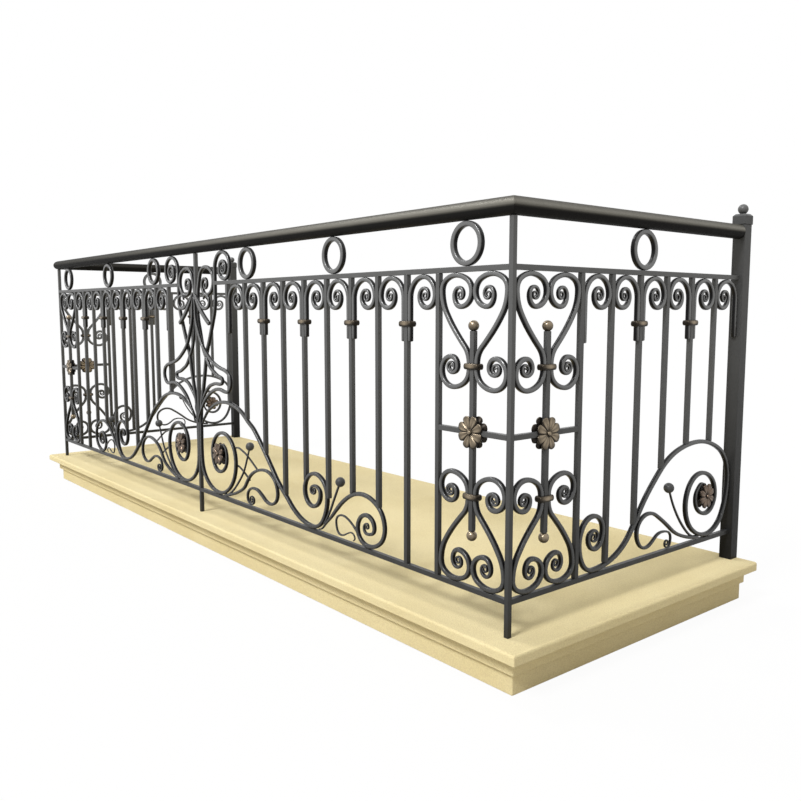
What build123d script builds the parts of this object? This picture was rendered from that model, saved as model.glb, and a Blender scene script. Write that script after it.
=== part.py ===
from build123d import *
from math import acos, atan2, ceil, cos, degrees, radians, sin, sqrt
import os

os.makedirs("parts", exist_ok=True)

# Driving sizes in millimetres
pitch = 120.0
front_bays = 26
return_bays = 8

# Bars and fits
bar = 13.0
scroll_bar = 12.0
branch_bar = 10.0
sprout_bar = 7.0
wire = 6.0
weld_gap = 0.3
chord_sag = 1.0

# Heights above the stone floor
handrail_top = 1000.0
handrail_diameter = 42.0
handrail_wall = 2.5
upper_rail_top = 853.0
bottom_rail_top = 91.0
rail_height = 13.0

# Newel posts against the wall
newel_width = 38.0
newel_wall = 3.0
newel_cap_width = 42.0
newel_cap_height = 31.0
newel_cap_bevel = 6.0
newel_ball_diameter = 31.0

# Stone floor in three tiers
floor_thickness = 26.0
floor_nosing = 7.0
step_height = 46.0
step_inset = 38.0
base_height = 54.0
base_inset = 51.0
front_overhang = 66.0
side_overhang = 82.0

# Crooks, collars and rings under the handrail
crook_tail = 168.0
collar_drop = 123.0
collar_height = 15.0
collar_lip = 6.0
collar_chamfer = 4.0
front_ring_places = (378.0, 876.0, 1416.0)
return_ring_place = 492.0
ring_sides = 20

# Corner panels
heart_collar_rise = 155.0
spindle_reach = 238.0
spindle_ball_diameter = 26.0

# Rosettes
panel_rosette_diameter = 80.0
volute_rosette_diameter = 80.0
return_rosette_diameter = 74.0
rosette_thickness = 5.0
petal_count = 8
petal_rim = (0.8, 0.96, 1.0, 0.96)
petal_slope = 30.0
rosette_button = 16.0
rosette_button_height = 4.0

# Ball sprouts
sprout_ball_diameter = 29.0
ball_sides = 12
ball_latitudes = (-67.5, -22.5, 22.5, 67.5)

# Lyre in the middle of the front
lyre_flank = 148.5

# Worked out from the sizes above
half_front = front_bays * pitch / 2
return_run = return_bays * pitch
floor_z = base_height + step_height + floor_thickness
slab_width = 2 * (half_front + side_overhang)
slab_depth = front_overhang + return_run + (newel_width + newel_cap_width) / 2
front_y = front_overhang - slab_depth / 2
handrail_bottom = handrail_top - handrail_diameter
upper_rail_bottom = upper_rail_top - rail_height
panel_middle = (upper_rail_bottom + bottom_rail_top) / 2
panel_axis = pitch
stem = bar / 2 + scroll_bar / 2
crest = upper_rail_bottom - weld_gap - scroll_bar / 2
lyre_crest = handrail_bottom - weld_gap - scroll_bar / 2
on_upper_rail = upper_rail_top + weld_gap + scroll_bar / 2
flank = pitch - bar / 2 - weld_gap - scroll_bar / 2
on_rail = bottom_rail_top + weld_gap + scroll_bar / 2

front_plane = Plane(origin=(0, front_y, floor_z), x_dir=(1, 0, 0), z_dir=(0, -1, 0))
return_plane = Plane(origin=(half_front, front_y, floor_z), x_dir=(0, 1, 0), z_dir=(1, 0, 0))
head_plane = front_plane.offset(bar / 2 + scroll_bar / 2)
wire_plane = front_plane.offset(-(sprout_bar + wire) / 2 - weld_gap)
panels = ((front_plane, half_front - panel_axis), (return_plane, panel_axis))


def heading(angle):
    """Unit vector of an angle in degrees above the level."""
    return Vector(cos(radians(angle)), sin(radians(angle)))


def meeting_point(start, start_angle, end, end_angle):
    """Where the two tangent arcs between a pair of waypoints meet."""
    across = end - start
    leave, arrive = heading(start_angle), heading(end_angle)
    along = across.dot(leave + arrive)
    spread = 2 * (1 - leave.dot(arrive))
    if spread < 1e-9:
        reach = across.dot(across) / (2 * along)
    else:
        reach = (sqrt(along * along + spread * across.dot(across)) - along) / spread
    return (start + end + (leave - arrive) * reach) / 2


def centre_line(waypoints):
    """Points (place, angle, travel) along tangent arcs through waypoints of (along, up, angle)."""
    marks = [(Vector(*waypoints[0][:2]), waypoints[0][2], 0)]
    for (x0, z0, first_angle), (x1, z1, last_angle) in zip(waypoints[:-1], waypoints[1:]):
        end = Vector(x1, z1)
        for point in (meeting_point(Vector(x0, z0), first_angle, end, last_angle), end):
            start, angle, travel = marks[-1]
            chord = point - start
            half_turn = atan2(chord.dot(heading(angle + 90)), chord.dot(heading(angle)))
            length = chord.length * (half_turn / sin(half_turn) if half_turn else 1)
            steps = 1
            if abs(half_turn) > 0.01:
                radius = length / 2 / abs(half_turn)
                steps = ceil(abs(half_turn) / acos(1 - min(chord_sag / radius, 0.15)))
            for step in range(1, steps + 1):
                turned = half_turn * step / steps
                reach = chord.length * (sin(turned) / sin(half_turn) if half_turn else 1)
                place = start + heading(angle + degrees(turned)) * reach
                marks.append((place, angle + 2 * degrees(turned), travel + length * step / steps))
    return marks


def forged_bar(waypoints, width, start_tip=None, end_tip=None, taper=110.0, grow=0.0):
    """Face of a bar drawn along its centre line, with tips drawn down to a smaller width."""
    marks = centre_line(waypoints)
    total = marks[-1][2]
    left, right = [], []
    for place, angle, travel in marks:
        full = width
        if start_tip is not None:
            full = min(full, start_tip + (width - start_tip) * travel / taper)
        if end_tip is not None:
            full = min(full, end_tip + (width - end_tip) * (total - travel) / taper)
        left.append(place + heading(angle + 90) * (full / 2 + grow))
        right.append(place - heading(angle + 90) * (full / 2 + grow))
    with BuildSketch() as drawn:
        with BuildLine():
            Polyline(*left, *reversed(right), close=True)
        make_face()
    return drawn.sketch


def cut_back(face, neighbours, keep=SortBy.AREA):
    """Face with its neighbours cut away, and only its main piece kept."""
    with BuildSketch() as trimmed:
        add(face)
        for neighbour in neighbours:
            add(neighbour, mode=Mode.SUBTRACT)
    return trimmed.faces().sort_by(keep)[-1]


def picket_face(place, foot, neighbours=()):
    """Upright bar below the upper rail that ends at its foot, or on the first scroll above it."""
    with BuildSketch() as blank:
        with Locations((place, (upper_rail_bottom + foot) / 2)):
            Rectangle(bar, upper_rail_bottom - foot)
    if not neighbours:
        return blank.face()
    return cut_back(blank.sketch, neighbours, keep=Axis.Y)


def save(piece, name):
    """Label a finished piece and write it as a STEP file."""
    piece.part.label = name
    export_step(piece.part, f"parts/{name}.step")


# Stone floor
with BuildPart() as floor_slab:
    with Locations((0, 0, floor_z)):
        Box(slab_width, slab_depth, floor_thickness, align=(Align.CENTER, Align.CENTER, Align.MAX))
    nosing = floor_slab.edges().group_by(Axis.Z)[-1].filter_by(GeomType.LINE).sort_by(Axis.Y)[:-1]
    fillet(nosing, radius=floor_nosing)
save(floor_slab, "floor_slab")

with BuildPart() as step_course:
    with Locations((0, slab_depth / 2, base_height)):
        Box(slab_width - 2 * step_inset, slab_depth - step_inset, step_height,
            align=(Align.CENTER, Align.MAX, Align.MIN))
save(step_course, "step_course")

with BuildPart() as base_course:
    with Locations((0, slab_depth / 2, 0)):
        Box(slab_width - 2 * base_inset, slab_depth - base_inset, base_height,
            align=(Align.CENTER, Align.MAX, Align.MIN))
save(base_course, "base_course")

# Posts
newel_y = front_y + return_run + newel_width / 2

with BuildPart() as newel_posts:
    with BuildSketch(Plane.XY.offset(floor_z)):
        with Locations((half_front, newel_y)):
            Rectangle(newel_width, newel_width)
            Rectangle(newel_width - 2 * newel_wall, newel_width - 2 * newel_wall, mode=Mode.SUBTRACT)
    extrude(amount=handrail_top)
    mirror(about=Plane.YZ)
save(newel_posts, "newel_posts")

newel_cap_z = floor_z + handrail_top
with BuildPart() as newel_caps:
    with Locations((half_front, newel_y, newel_cap_z)):
        Box(newel_cap_width, newel_cap_width, newel_cap_height, align=(Align.CENTER, Align.CENTER, Align.MIN))
    chamfer(newel_caps.faces().sort_by(Axis.Z)[-1].edges(), length=newel_cap_bevel)
    mirror(about=Plane.YZ)
save(newel_caps, "newel_caps")

post_height = handrail_bottom - weld_gap
with BuildPart() as rail_posts:
    with Locations((0, front_y, floor_z), (half_front, front_y, floor_z)):
        Box(bar, bar, post_height, align=(Align.CENTER, Align.CENTER, Align.MIN))
    mirror(about=Plane.YZ)
save(rail_posts, "rail_posts")

# Handrail tube, mitred at the corners
handrail_z = floor_z + handrail_top - handrail_diameter / 2
mitre = Plane(origin=(half_front, front_y, handrail_z), x_dir=(0, 0, 1), z_dir=(1, 1, 0))


def tube_section():
    """Ring section of the handrail tube."""
    Circle(handrail_diameter / 2)
    Circle(handrail_diameter / 2 - handrail_wall, mode=Mode.SUBTRACT)


with BuildPart() as handrail_front:
    with BuildSketch(Plane(origin=(0, front_y, handrail_z), z_dir=(1, 0, 0))):
        tube_section()
    extrude(amount=half_front + handrail_diameter)
    split(bisect_by=mitre, keep=Keep.BOTTOM)
    mirror(about=Plane.YZ)
save(handrail_front, "handrail_front")

with BuildPart() as handrail_returns:
    with BuildSketch(Plane(origin=(half_front, front_y + return_run, handrail_z), z_dir=(0, -1, 0))):
        tube_section()
    extrude(amount=return_run + handrail_diameter)
    split(bisect_by=mitre, keep=Keep.TOP)
    mirror(about=Plane.YZ)
save(handrail_returns, "handrail_returns")


# Flat rails, in lengths between the posts
def rail_part(name, plane, first, last, top):
    """Flat rail between two places along a side, with its mirror image."""
    with BuildPart() as rail:
        with BuildSketch(plane):
            with Locations(((first + last) / 2, top - rail_height / 2)):
                Rectangle(last - first, rail_height)
        extrude(amount=bar / 2, both=True)
        mirror(about=Plane.YZ)
    save(rail, name)


rail_part("upper_rail_front", front_plane, lyre_flank + scroll_bar / 2, half_front - bar / 2, upper_rail_top)
rail_part("upper_rail_returns", return_plane, bar / 2, return_run, upper_rail_top)
rail_part("bottom_rail_front", front_plane, bar / 2, half_front - bar / 2, bottom_rail_top)
rail_part("bottom_rail_returns", return_plane, bar / 2, return_run, bottom_rail_top)

# Rings between the upper rail and the handrail
ring_height = handrail_bottom - upper_rail_top - 2 * weld_gap
ring_middle = (handrail_bottom + upper_rail_top) / 2

with BuildPart() as top_rings:
    for plane, places in ((front_plane, front_ring_places), (return_plane, (return_ring_place,))):
        with BuildSketch(plane):
            with Locations([(place, ring_middle) for place in places]):
                RegularPolygon(ring_height / 2, ring_sides)
                RegularPolygon(ring_height / 2 - bar, ring_sides, mode=Mode.SUBTRACT)
        extrude(amount=bar / 2, both=True)
    mirror(about=Plane.YZ)
save(top_rings, "top_rings")

# Crooks, drawn for a picket at the origin
def crook_face(bay):
    """Crook that rises beside its picket and curls down against the next one."""
    reach = bay - bar / 2 - weld_gap - scroll_bar / 2
    return forged_bar(
        [
            (stem, upper_rail_bottom - crook_tail, 90),
            (stem, crest - 52, 90),
            (stem + 51, crest, 0),
            (reach, crest - 45, 270),
            (reach - 30, crest - 76, 180),
            (reach - 59, crest - 48, 90),
            (reach - 41, crest - 28, 0),
            (reach - 25, crest - 45, 270),
            (reach - 37, crest - 57, 180),
            (reach - 45, crest - 50, 90),
        ],
        scroll_bar,
        end_tip=5.0,
        taper=150.0,
    )


def crook_part(name, plane, pairs, right_only=(), newel=False):
    """Crook scrolls of one side and their mirror images."""
    crook = crook_face(pitch)
    left_crook = mirror(crook, about=Plane.YZ, mode=Mode.PRIVATE)
    with BuildPart() as crooks:
        with BuildSketch(plane):
            with Locations([(place * pitch, 0) for place in (*right_only, *pairs)]):
                add(crook)
            with Locations([(place * pitch, 0) for place in pairs]):
                add(left_crook)
            if newel:
                with Locations((return_run + bar / 2, 0)):
                    add(mirror(crook_face(pitch + bar / 2), about=Plane.YZ, mode=Mode.PRIVATE))
        extrude(amount=scroll_bar / 2, both=True)
        mirror(about=Plane.YZ)
    save(crooks, name)


front_pairs = (4, 6, 8, 10)
return_pairs = (4, 6)
crook_part("front_crook_scrolls", front_plane, front_pairs, right_only=(2,))
crook_part("return_crook_scrolls", return_plane, return_pairs, right_only=(2,), newel=True)

# Collars around a picket and its two scroll stems
bundle = bar + 2 * scroll_bar
collar_z = upper_rail_bottom - collar_drop


def collar_part(name, front_points, return_points):
    """Collars bound round three bars at each point."""
    with BuildPart() as collars:
        for plane, points in ((front_plane, front_points), (return_plane, return_points)):
            with BuildSketch(plane):
                with Locations(points):
                    Rectangle(bundle + 2 * collar_lip, collar_height)
            extrude(amount=bar / 2 + collar_lip, both=True)
            rims = collars.edges().filter_by(lambda edge: abs(edge.length - collar_height) > 0.01)
        chamfer(rims, length=collar_chamfer)
        for plane, points in ((front_plane, front_points), (return_plane, return_points)):
            with BuildSketch(plane):
                with Locations(points):
                    Rectangle(bundle, collar_height)
            extrude(amount=bar / 2, both=True, mode=Mode.SUBTRACT)
        mirror(about=Plane.YZ)
    save(collars, name)


collar_part(
    "crook_collars",
    [(place * pitch, collar_z) for place in front_pairs],
    [(place * pitch, collar_z) for place in return_pairs],
)
front_panel_axis = half_front - panel_axis
collar_part(
    "panel_collars",
    [(front_panel_axis, panel_middle + rise) for rise in (heart_collar_rise, -heart_collar_rise)],
    [(panel_axis, panel_middle + rise) for rise in (heart_collar_rise, -heart_collar_rise)],
)

# Heart scrolls, drawn from the spindle axis and the middle of the panel
heart_crest = crest - panel_middle
heart_path = [
    (64, 151, 90),
    (75, 162, 0),
    (86, 151, 270),
    (70, 137, 180),
    (52, 153, 90),
    (74, 176, 0),
    (flank, 141, 270),
    (67, 103, 180),
    (stem, heart_collar_rise - collar_height / 2, 90),
    (stem, heart_collar_rise + collar_height / 2, 90),
    (58, heart_collar_rise + 78, 49),
    (flank, heart_crest - 36, 90),
    (60, heart_crest, 180),
    (scroll_bar / 2 + weld_gap / 2, heart_crest - 39, 270),
    (43, heart_crest - 74, 0),
    (65, heart_crest - 48, 90),
    (49, heart_crest - 29, 180),
    (34, heart_crest - 44, 270),
    (44, heart_crest - 56, 0),
]
heart_bar = forged_bar(heart_path, scroll_bar, start_tip=5.0, end_tip=5.0, taper=120.0)


def heart_part(name, hand):
    """Upper or lower hearts of every corner panel."""
    with BuildPart() as hearts:
        for plane, place in panels:
            with BuildSketch(plane):
                with Locations((place, panel_middle)):
                    half_heart = heart_bar
                    if hand < 0:
                        half_heart = mirror(heart_bar, about=Plane.XZ, mode=Mode.PRIVATE)
                    add(half_heart)
                    add(mirror(half_heart, about=Plane.YZ, mode=Mode.PRIVATE))
            extrude(amount=scroll_bar / 2, both=True)
        mirror(about=Plane.YZ)
    save(hearts, name)


heart_part("upper_heart_scrolls", 1)
heart_part("lower_heart_scrolls", -1)

# Spindles and crossbars of the corner panels
with BuildPart() as panel_spindles:
    for plane, place in panels:
        with BuildSketch(plane):
            with Locations((place, panel_middle)):
                Rectangle(bar, 2 * spindle_reach)
        extrude(amount=bar / 2, both=True)
    mirror(about=Plane.YZ)
save(panel_spindles, "panel_spindles")

with BuildPart() as panel_crossbars:
    for plane, place in panels:
        with BuildSketch(plane):
            for hand in (1, -1):
                with Locations((place + hand * pitch / 2, panel_middle)):
                    Rectangle(pitch - bar, bar)
        extrude(amount=bar / 2, both=True)
    mirror(about=Plane.YZ)
save(panel_crossbars, "panel_crossbars")

# Forged balls, each flat where it sits
def balls_part(name, diameter, seats):
    """Twelve-sided balls that stand on (point, direction) seats, and their mirror images."""
    bands = [diameter / 2 * sin(radians(latitude)) for latitude in ball_latitudes]
    girths = [diameter / 2 * cos(radians(latitude)) for latitude in ball_latitudes]
    with BuildPart() as balls:
        for seat, direction in seats:
            for band, girth in zip(bands, girths):
                with BuildSketch(Plane(origin=seat + direction * (band - bands[0]), z_dir=direction)):
                    RegularPolygon(girth, ball_sides)
            loft(ruled=True)
        mirror(about=Plane.YZ)
    save(balls, name)


upward = Vector(0, 0, 1)
balls_part(
    "newel_balls",
    newel_ball_diameter,
    [(Vector(half_front, newel_y, newel_cap_z + newel_cap_height), upward)],
)
balls_part(
    "panel_spindle_balls",
    spindle_ball_diameter,
    [
        (plane.from_local_coords(Vector(place, panel_middle + hand * spindle_reach, 0)), upward * hand)
        for plane, place in panels
        for hand in (1, -1)
    ],
)


# Rosettes with a ring of petals round a button
def rosette_part(name, seats):
    """Rosettes facing outward from (plane, along, up, diameter) seats."""
    with BuildPart() as rosettes:
        for plane, along, up, diameter in seats:
            rim = [
                Vector(along, up) + heading(step * 90 / petal_count) * petal_rim[step % 4] * diameter / 2
                for step in range(4 * petal_count)
            ]
            with BuildSketch(plane):
                with BuildLine():
                    Polyline(rim, close=True)
                make_face()
            extrude(amount=rosette_thickness, taper=petal_slope)
            with BuildSketch(plane.offset(rosette_thickness)):
                with Locations((along, up)):
                    RegularPolygon(rosette_button / 2, ball_sides)
            extrude(amount=rosette_button_height, taper=petal_slope)
        mirror(about=Plane.YZ)
    save(rosettes, name)


def seen_from_behind(plane):
    """The same plane looked at from its other side."""
    return Plane(origin=plane.origin, x_dir=-plane.x_dir, z_dir=-plane.z_dir)


def both_faces(plane, depth, along, up, diameter):
    """Rosette seats on the outer and the inner face of a bar."""
    back = seen_from_behind(plane.offset(-depth / 2))
    return [(plane.offset(depth / 2), along, up, diameter), (back, -along, up, diameter)]


panel_seats = []
for plane, place in panels:
    panel_seats += both_faces(plane, bar, place, panel_middle, panel_rosette_diameter)
rosette_part("panel_rosettes", panel_seats)
rosette_part(
    "volute_rosettes",
    both_faces(front_plane, scroll_bar, 155, 240, volute_rosette_diameter)
    + both_faces(return_plane, scroll_bar, 829, 214, return_rosette_diameter),
)


def bars_part(name, depth, *groups):
    """Bars of one depth from groups of (plane, drawn faces), with their mirror images."""
    with BuildPart() as bars:
        for plane, faces in groups:
            with BuildSketch(plane):
                for face in faces:
                    add(face)
            extrude(amount=depth / 2, both=True)
        mirror(about=Plane.YZ)
    save(bars, name)


def bar_and_room(waypoints, width, **tips):
    """Face of a bar, and the slightly larger face its neighbours stay clear of."""
    return (
        forged_bar(waypoints, width, **tips),
        forged_bar(waypoints, width, grow=weld_gap, **tips),
    )


# Lyre and great volute, one bar each side of the middle post
with BuildSketch() as post_room:
    with Locations((bar / 2, 0)):
        Rectangle(pitch, 2 * handrail_top, align=(Align.MAX, Align.CENTER))
lyre, lyre_room = bar_and_room(
    [
        (161, 272, 20),
        (178, 275, 0),
        (209, 232, 270),
        (150, 175, 180),
        (99.5, 240, 90),
        (181, 318, 0),
        (273.5, 225, 270),
        (141, on_rail, 180),
        (14, 200, 95),
        (stem + weld_gap, 345, 90),
        (30, 440, 72),
        (52, 520, 75),
        (66, 580, 74),
        (103, 660, 66),
        (lyre_flank, 800, 90),
        (lyre_flank, 893, 90),
        (205, lyre_crest, 0),
        (259, 903, 270),
        (223, on_upper_rail, 180),
        (190.5, 888, 90),
        (207, 917, 0),
        (227, 898, 270),
        (212, 883, 180),
        (203, 893, 90),
    ],
    scroll_bar,
    start_tip=6.0,
    end_tip=5.0,
    taper=150.0,
)
lyre = cut_back(lyre, [post_room.sketch])
bars_part("lyre_volutes", scroll_bar, (front_plane, [lyre]))

# Crooks inside the lyre, each side of the post
inner_crook = forged_bar(
    [
        (stem, 740, 90),
        (17, 835, 75),
        (30, 875, 70),
        (75, 906, 0),
        (lyre_flank - scroll_bar - weld_gap, 856, 270),
        (85, 806, 180),
        (49, 842, 90),
        (70, 865, 0),
        (88, 845, 270),
        (73, 829, 180),
        (64, 840, 90),
    ],
    scroll_bar,
    end_tip=5.0,
)
inner_crook = cut_back(inner_crook, [post_room.sketch])
bars_part("inner_crooks", scroll_bar, (front_plane, [inner_crook]))

# Whiplash bars, the outer ones in front of the post and the inner ones level with the lyre
with BuildSketch() as other_half:
    with Locations((weld_gap / 2, 0)):
        Rectangle(pitch, 2 * handrail_top, align=(Align.MAX, Align.CENTER))
outer_whiplash, outer_room = bar_and_room(
    [
        (4, 800, 285),
        (22, 699, 292),
        (53, 639, 302),
        (116, 583, 327),
        (217, 547, 352),
        (273, 505, 270),
        (238, 469, 180),
        (185, 475, 180),
        (128, 461, 205),
        (60, 412, 228),
        (14, 340, 260),
    ],
    scroll_bar,
    start_tip=5.0,
    end_tip=3.0,
)
outer_whiplash = cut_back(outer_whiplash, [other_half.sketch])
bars_part("outer_whiplash_bars", scroll_bar, (head_plane, [outer_whiplash]))
inner_whiplash = forged_bar(
    [
        (20, 690, 288),
        (60, 590, 310),
        (112, 538, 335),
        (166, 517, 350),
        (188, 504, 270),
        (167, 491, 180),
        (138, 491, 182),
        (102, 484, 195),
        (50, 448, 225),
        (10, 370, 260),
    ],
    scroll_bar,
    start_tip=5.0,
    end_tip=3.0,
)
with BuildSketch() as inner_lengths:
    add(inner_whiplash)
    add(lyre_room, mode=Mode.SUBTRACT)
    add(post_room.sketch, mode=Mode.SUBTRACT)
inner_lengths = inner_lengths.faces().sort_by(SortBy.AREA)[-2:]
bars_part("inner_whiplash_bars", scroll_bar, (front_plane, inner_lengths))

# Leaf bars and curls at the head of the lyre
leaf_bar = forged_bar([(8, 812, -50), (60, 762, -45), (126, 702, -43)], scroll_bar, start_tip=6.0, taper=60.0)
leaf_room = forged_bar(
    [(8, 812, -50), (60, 762, -45), (126, 702, -43)], scroll_bar, start_tip=6.0, taper=60.0, grow=weld_gap
)
leaf_bar = cut_back(leaf_bar, [outer_room, other_half.sketch])
head_curl = forged_bar(
    [(15, 806, -35), (95, 758, 0), (126, 782, 90), (100, 806, 180), (82, 790, 270)],
    scroll_bar,
    start_tip=6.0,
    end_tip=6.0,
)
head_curl = cut_back(head_curl, [leaf_room])
bars_part("head_leaves", scroll_bar, (head_plane, [leaf_bar, head_curl]))

# Waves that run from the middle to the corner panels
front_wave, front_wave_room = bar_and_room(
    [
        (22.6, 335, 65),
        (52, 370, 47),
        (115, 410, 25),
        (210, 430, 0),
        (352, 387, -36),
        (412, 348, -42),
        (533, 224, -48),
        (625, 146, -40),
        (752, on_rail, 0),
        (833, 200, 90),
        (770, 262, 180),
        (712, 205, 270),
        (753, 160, 0),
        (797, 203, 90),
        (768, 225, 180),
        (745, 208, 270),
        (759, 199, 0),
    ],
    scroll_bar,
    start_tip=5.0,
    end_tip=5.0,
)
front_wave = cut_back(front_wave, [lyre_room])
bars_part("front_waves", scroll_bar, (front_plane, [front_wave]))

end_wave, end_wave_room = bar_and_room(
    [
        (785, 95, 5),
        (836, 131, 40),
        (897, 190, 42),
        (1007, 240, 0),
        (1106, 160, 270),
        (1031, on_rail, 180),
        (983, 140, 90),
        (1025, 184, 0),
        (1060, 152, 270),
        (1026, 131, 180),
        (1012, 147, 90),
        (1026, 160, 0),
        (1033, 152, 270),
    ],
    scroll_bar,
    start_tip=4.0,
    end_tip=4.0,
)
end_wave = cut_back(end_wave, [front_wave_room])
bars_part("end_waves", scroll_bar, (front_plane, [end_wave]))

branch, branch_room = bar_and_room(
    [
        (190, on_rail, 0),
        (263, 114, 17),
        (313, 135, 26),
        (374, 194, 40),
        (411, 215, 22),
        (472, 227, 0),
        (550, 161, 270),
        (502, 120, 180),
        (432, 149, 155),
        (399, 154.5, 180),
        (352, 118, 270),
        (375, on_rail - 1, 0),
        (396, 112, 90),
        (381, 124, 180),
        (369, 112, 270),
    ],
    branch_bar,
    end_tip=4.0,
    taper=250.0,
)
branch = cut_back(branch, [lyre_room])
bars_part("front_branches", branch_bar, (front_plane, [branch]))

# Sprouts with forged balls
front_sprout_paths = [
    [(215, 103, 25), (312, 181, 48), (368, 282, 65)],
    [(815, 118, 50), (892, 246, 60)],
]
front_sprouts = [
    cut_back(
        forged_bar(path, sprout_bar, start_tip=4.0),
        [lyre_room, branch_room, front_wave_room, end_wave_room],
    )
    for path in front_sprout_paths
]

# Thin strands and tendrils
strands = [
    cut_back(forged_bar(path, wire), [lyre_room, branch_room])
    for path in (
        [(262, 274, 20), (279, 277, 0), (312, 269, -15), (362, 247, -30), (409, 219, -32)],
        [(272, 214, -10), (312, 200, -25), (359, 174, -32)],
    )
]
bars_part("volute_strands", wire, (wire_plane, strands))
tendril = cut_back(
    forged_bar(
        [
            (982, 124, 135),
            (949, 149, 150),
            (905, 161, 185),
            (877, 137, 270),
            (900, 102, 0),
            (945, 118, 20),
            (968, 108, -70),
            (960, 97, 200),
        ],
        wire,
    ),
    [end_wave_room],
)
bars_part("front_tendrils", wire, (front_plane, [tendril]))

# Waves, branches and sprouts of the returns
return_wave, return_wave_room = bar_and_room(
    [
        (312, 171, 0),
        (327, 184, 90),
        (312, 199, 180),
        (289, 181, 270),
        (316, 151, 0),
        (2 * pitch + flank, 196, 90),
        (306, 237, 180),
        (2 * pitch + stem + weld_gap, 172, 270),
        (310, on_rail, 0),
        (413, 122, 28),
        (508, 222, 54),
        (597, 317, 42),
        (776, 378, 0),
        (return_run - scroll_bar / 2 - weld_gap, 250, 270),
        (845, on_rail, 180),
        (729, 200, 90),
        (805, 284, 0),
        (884, 214, 270),
        (836, 161, 180),
        (779, 212, 90),
        (803, 250, 35),
        (829, 245, -40),
    ],
    scroll_bar,
    start_tip=5.0,
    end_tip=6.0,
)
bars_part("return_waves", scroll_bar, (return_plane, [return_wave]))
return_branch, return_branch_room = bar_and_room(
    [
        (800, 98, 180),
        (700, 120, 158),
        (617, 174, 146),
        (548, 205, 180),
        (496, 160, 270),
        (538, 112.5, 0),
        (583, 133, 38),
        (615, 143, 0),
        (659, 118, 270),
        (645, 94, 180),
        (631, 105, 90),
        (640, 115, 0),
    ],
    branch_bar,
    end_tip=4.0,
    taper=300.0,
)
return_branch = cut_back(return_branch, [return_wave_room])
bars_part("return_branches", branch_bar, (return_plane, [return_branch]))
return_sprout_path = [(800, 98, 180), (703, 160, 130), (648, 250, 112)]
return_sprout = cut_back(
    forged_bar(return_sprout_path, sprout_bar, start_tip=4.0),
    [return_wave_room, return_branch_room],
)
bars_part("sprout_stems", sprout_bar, (front_plane, front_sprouts), (return_plane, [return_sprout]))


def stem_seat(plane, stem_path):
    """Seat of the ball on the end of a sprout stem, as (point, direction)."""
    x, z, angle = stem_path[-1]
    seat = plane.from_local_coords(Vector(x, z, 0))
    return seat, plane.from_local_coords(Vector(x, z, 0) + heading(angle)) - seat


sprout_seats = [stem_seat(front_plane, path) for path in front_sprout_paths]
sprout_seats.append(stem_seat(return_plane, return_sprout_path))
balls_part("sprout_balls", sprout_ball_diameter, sprout_seats)

# Pickets, coped where they stand on the waves
waves = [front_wave_room, end_wave_room]
front_pickets = [picket_face(place * pitch, 0, waves) for place in (2, 3, 4, 5, 6, 8, 9)]
front_pickets.append(picket_face(7 * pitch, 200, waves))
front_pickets.append(picket_face(10 * pitch, bottom_rail_top))
bars_part("front_pickets", bar, (front_plane, front_pickets))
return_pickets = [picket_face(place * pitch, 0, [return_wave_room]) for place in (3, 4, 5, 6, 7)]
bars_part("return_pickets", bar, (return_plane, return_pickets))
bars_part(
    "panel_side_bars",
    bar,
    (front_plane, [picket_face(11 * pitch, bottom_rail_top)]),
    (return_plane, [picket_face(2 * pitch, bottom_rail_top)]),
)
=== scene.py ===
# %% [markdown]
# # An iron balcony railing, dressed in Blender
# The measured model of the railing is already packed: every bar, collar and stone stands where it belongs.
# This lesson takes that model as a fixed frame and gives each piece the shape and the finish of the real
# thing: drawn-down scrolls with soft edges, half-round collars, cupped rosettes and a sandstone floor.
# The sizes are in metres and the frame is the model's own, so that nothing has to be fitted by eye.

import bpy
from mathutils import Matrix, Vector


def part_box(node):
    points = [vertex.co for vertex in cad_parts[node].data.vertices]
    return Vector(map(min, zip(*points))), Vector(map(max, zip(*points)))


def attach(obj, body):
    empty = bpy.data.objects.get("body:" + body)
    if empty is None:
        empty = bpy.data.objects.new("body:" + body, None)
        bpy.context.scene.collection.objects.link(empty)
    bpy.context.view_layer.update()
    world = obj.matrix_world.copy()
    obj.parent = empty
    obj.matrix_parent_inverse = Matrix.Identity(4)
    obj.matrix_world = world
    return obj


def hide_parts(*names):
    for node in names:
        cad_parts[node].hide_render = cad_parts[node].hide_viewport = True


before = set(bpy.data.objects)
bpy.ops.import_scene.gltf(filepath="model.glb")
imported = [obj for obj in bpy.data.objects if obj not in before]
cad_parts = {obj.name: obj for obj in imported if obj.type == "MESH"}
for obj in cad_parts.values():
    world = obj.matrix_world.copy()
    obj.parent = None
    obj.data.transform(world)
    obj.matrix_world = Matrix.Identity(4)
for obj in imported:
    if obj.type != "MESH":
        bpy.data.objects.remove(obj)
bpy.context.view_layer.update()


def rounded(numbers):
    return [round(number, 3) for number in numbers]


# %% The tools of the lesson
from math import acos, atan2, ceil, cos, degrees, pi, radians, sin, sqrt

import bmesh
import bpy
from mathutils import Vector

UP = Vector((0, 0, 1))
MM = 0.001
print("Blender", bpy.app.version_string)

# %% [markdown]
# ## Sums on sockets
# A finish is a sum of patterns: grain times depth, dust where a face looks up, and so on. Written node by
# node such a sum is long and hard to read. Here one small class holds a socket and knows the signs of
# arithmetic, so that an expression adds its own Math nodes. Geometry Nodes use the same Math nodes, so one
# bench serves the shaders and the modelling trees alike.

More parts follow.
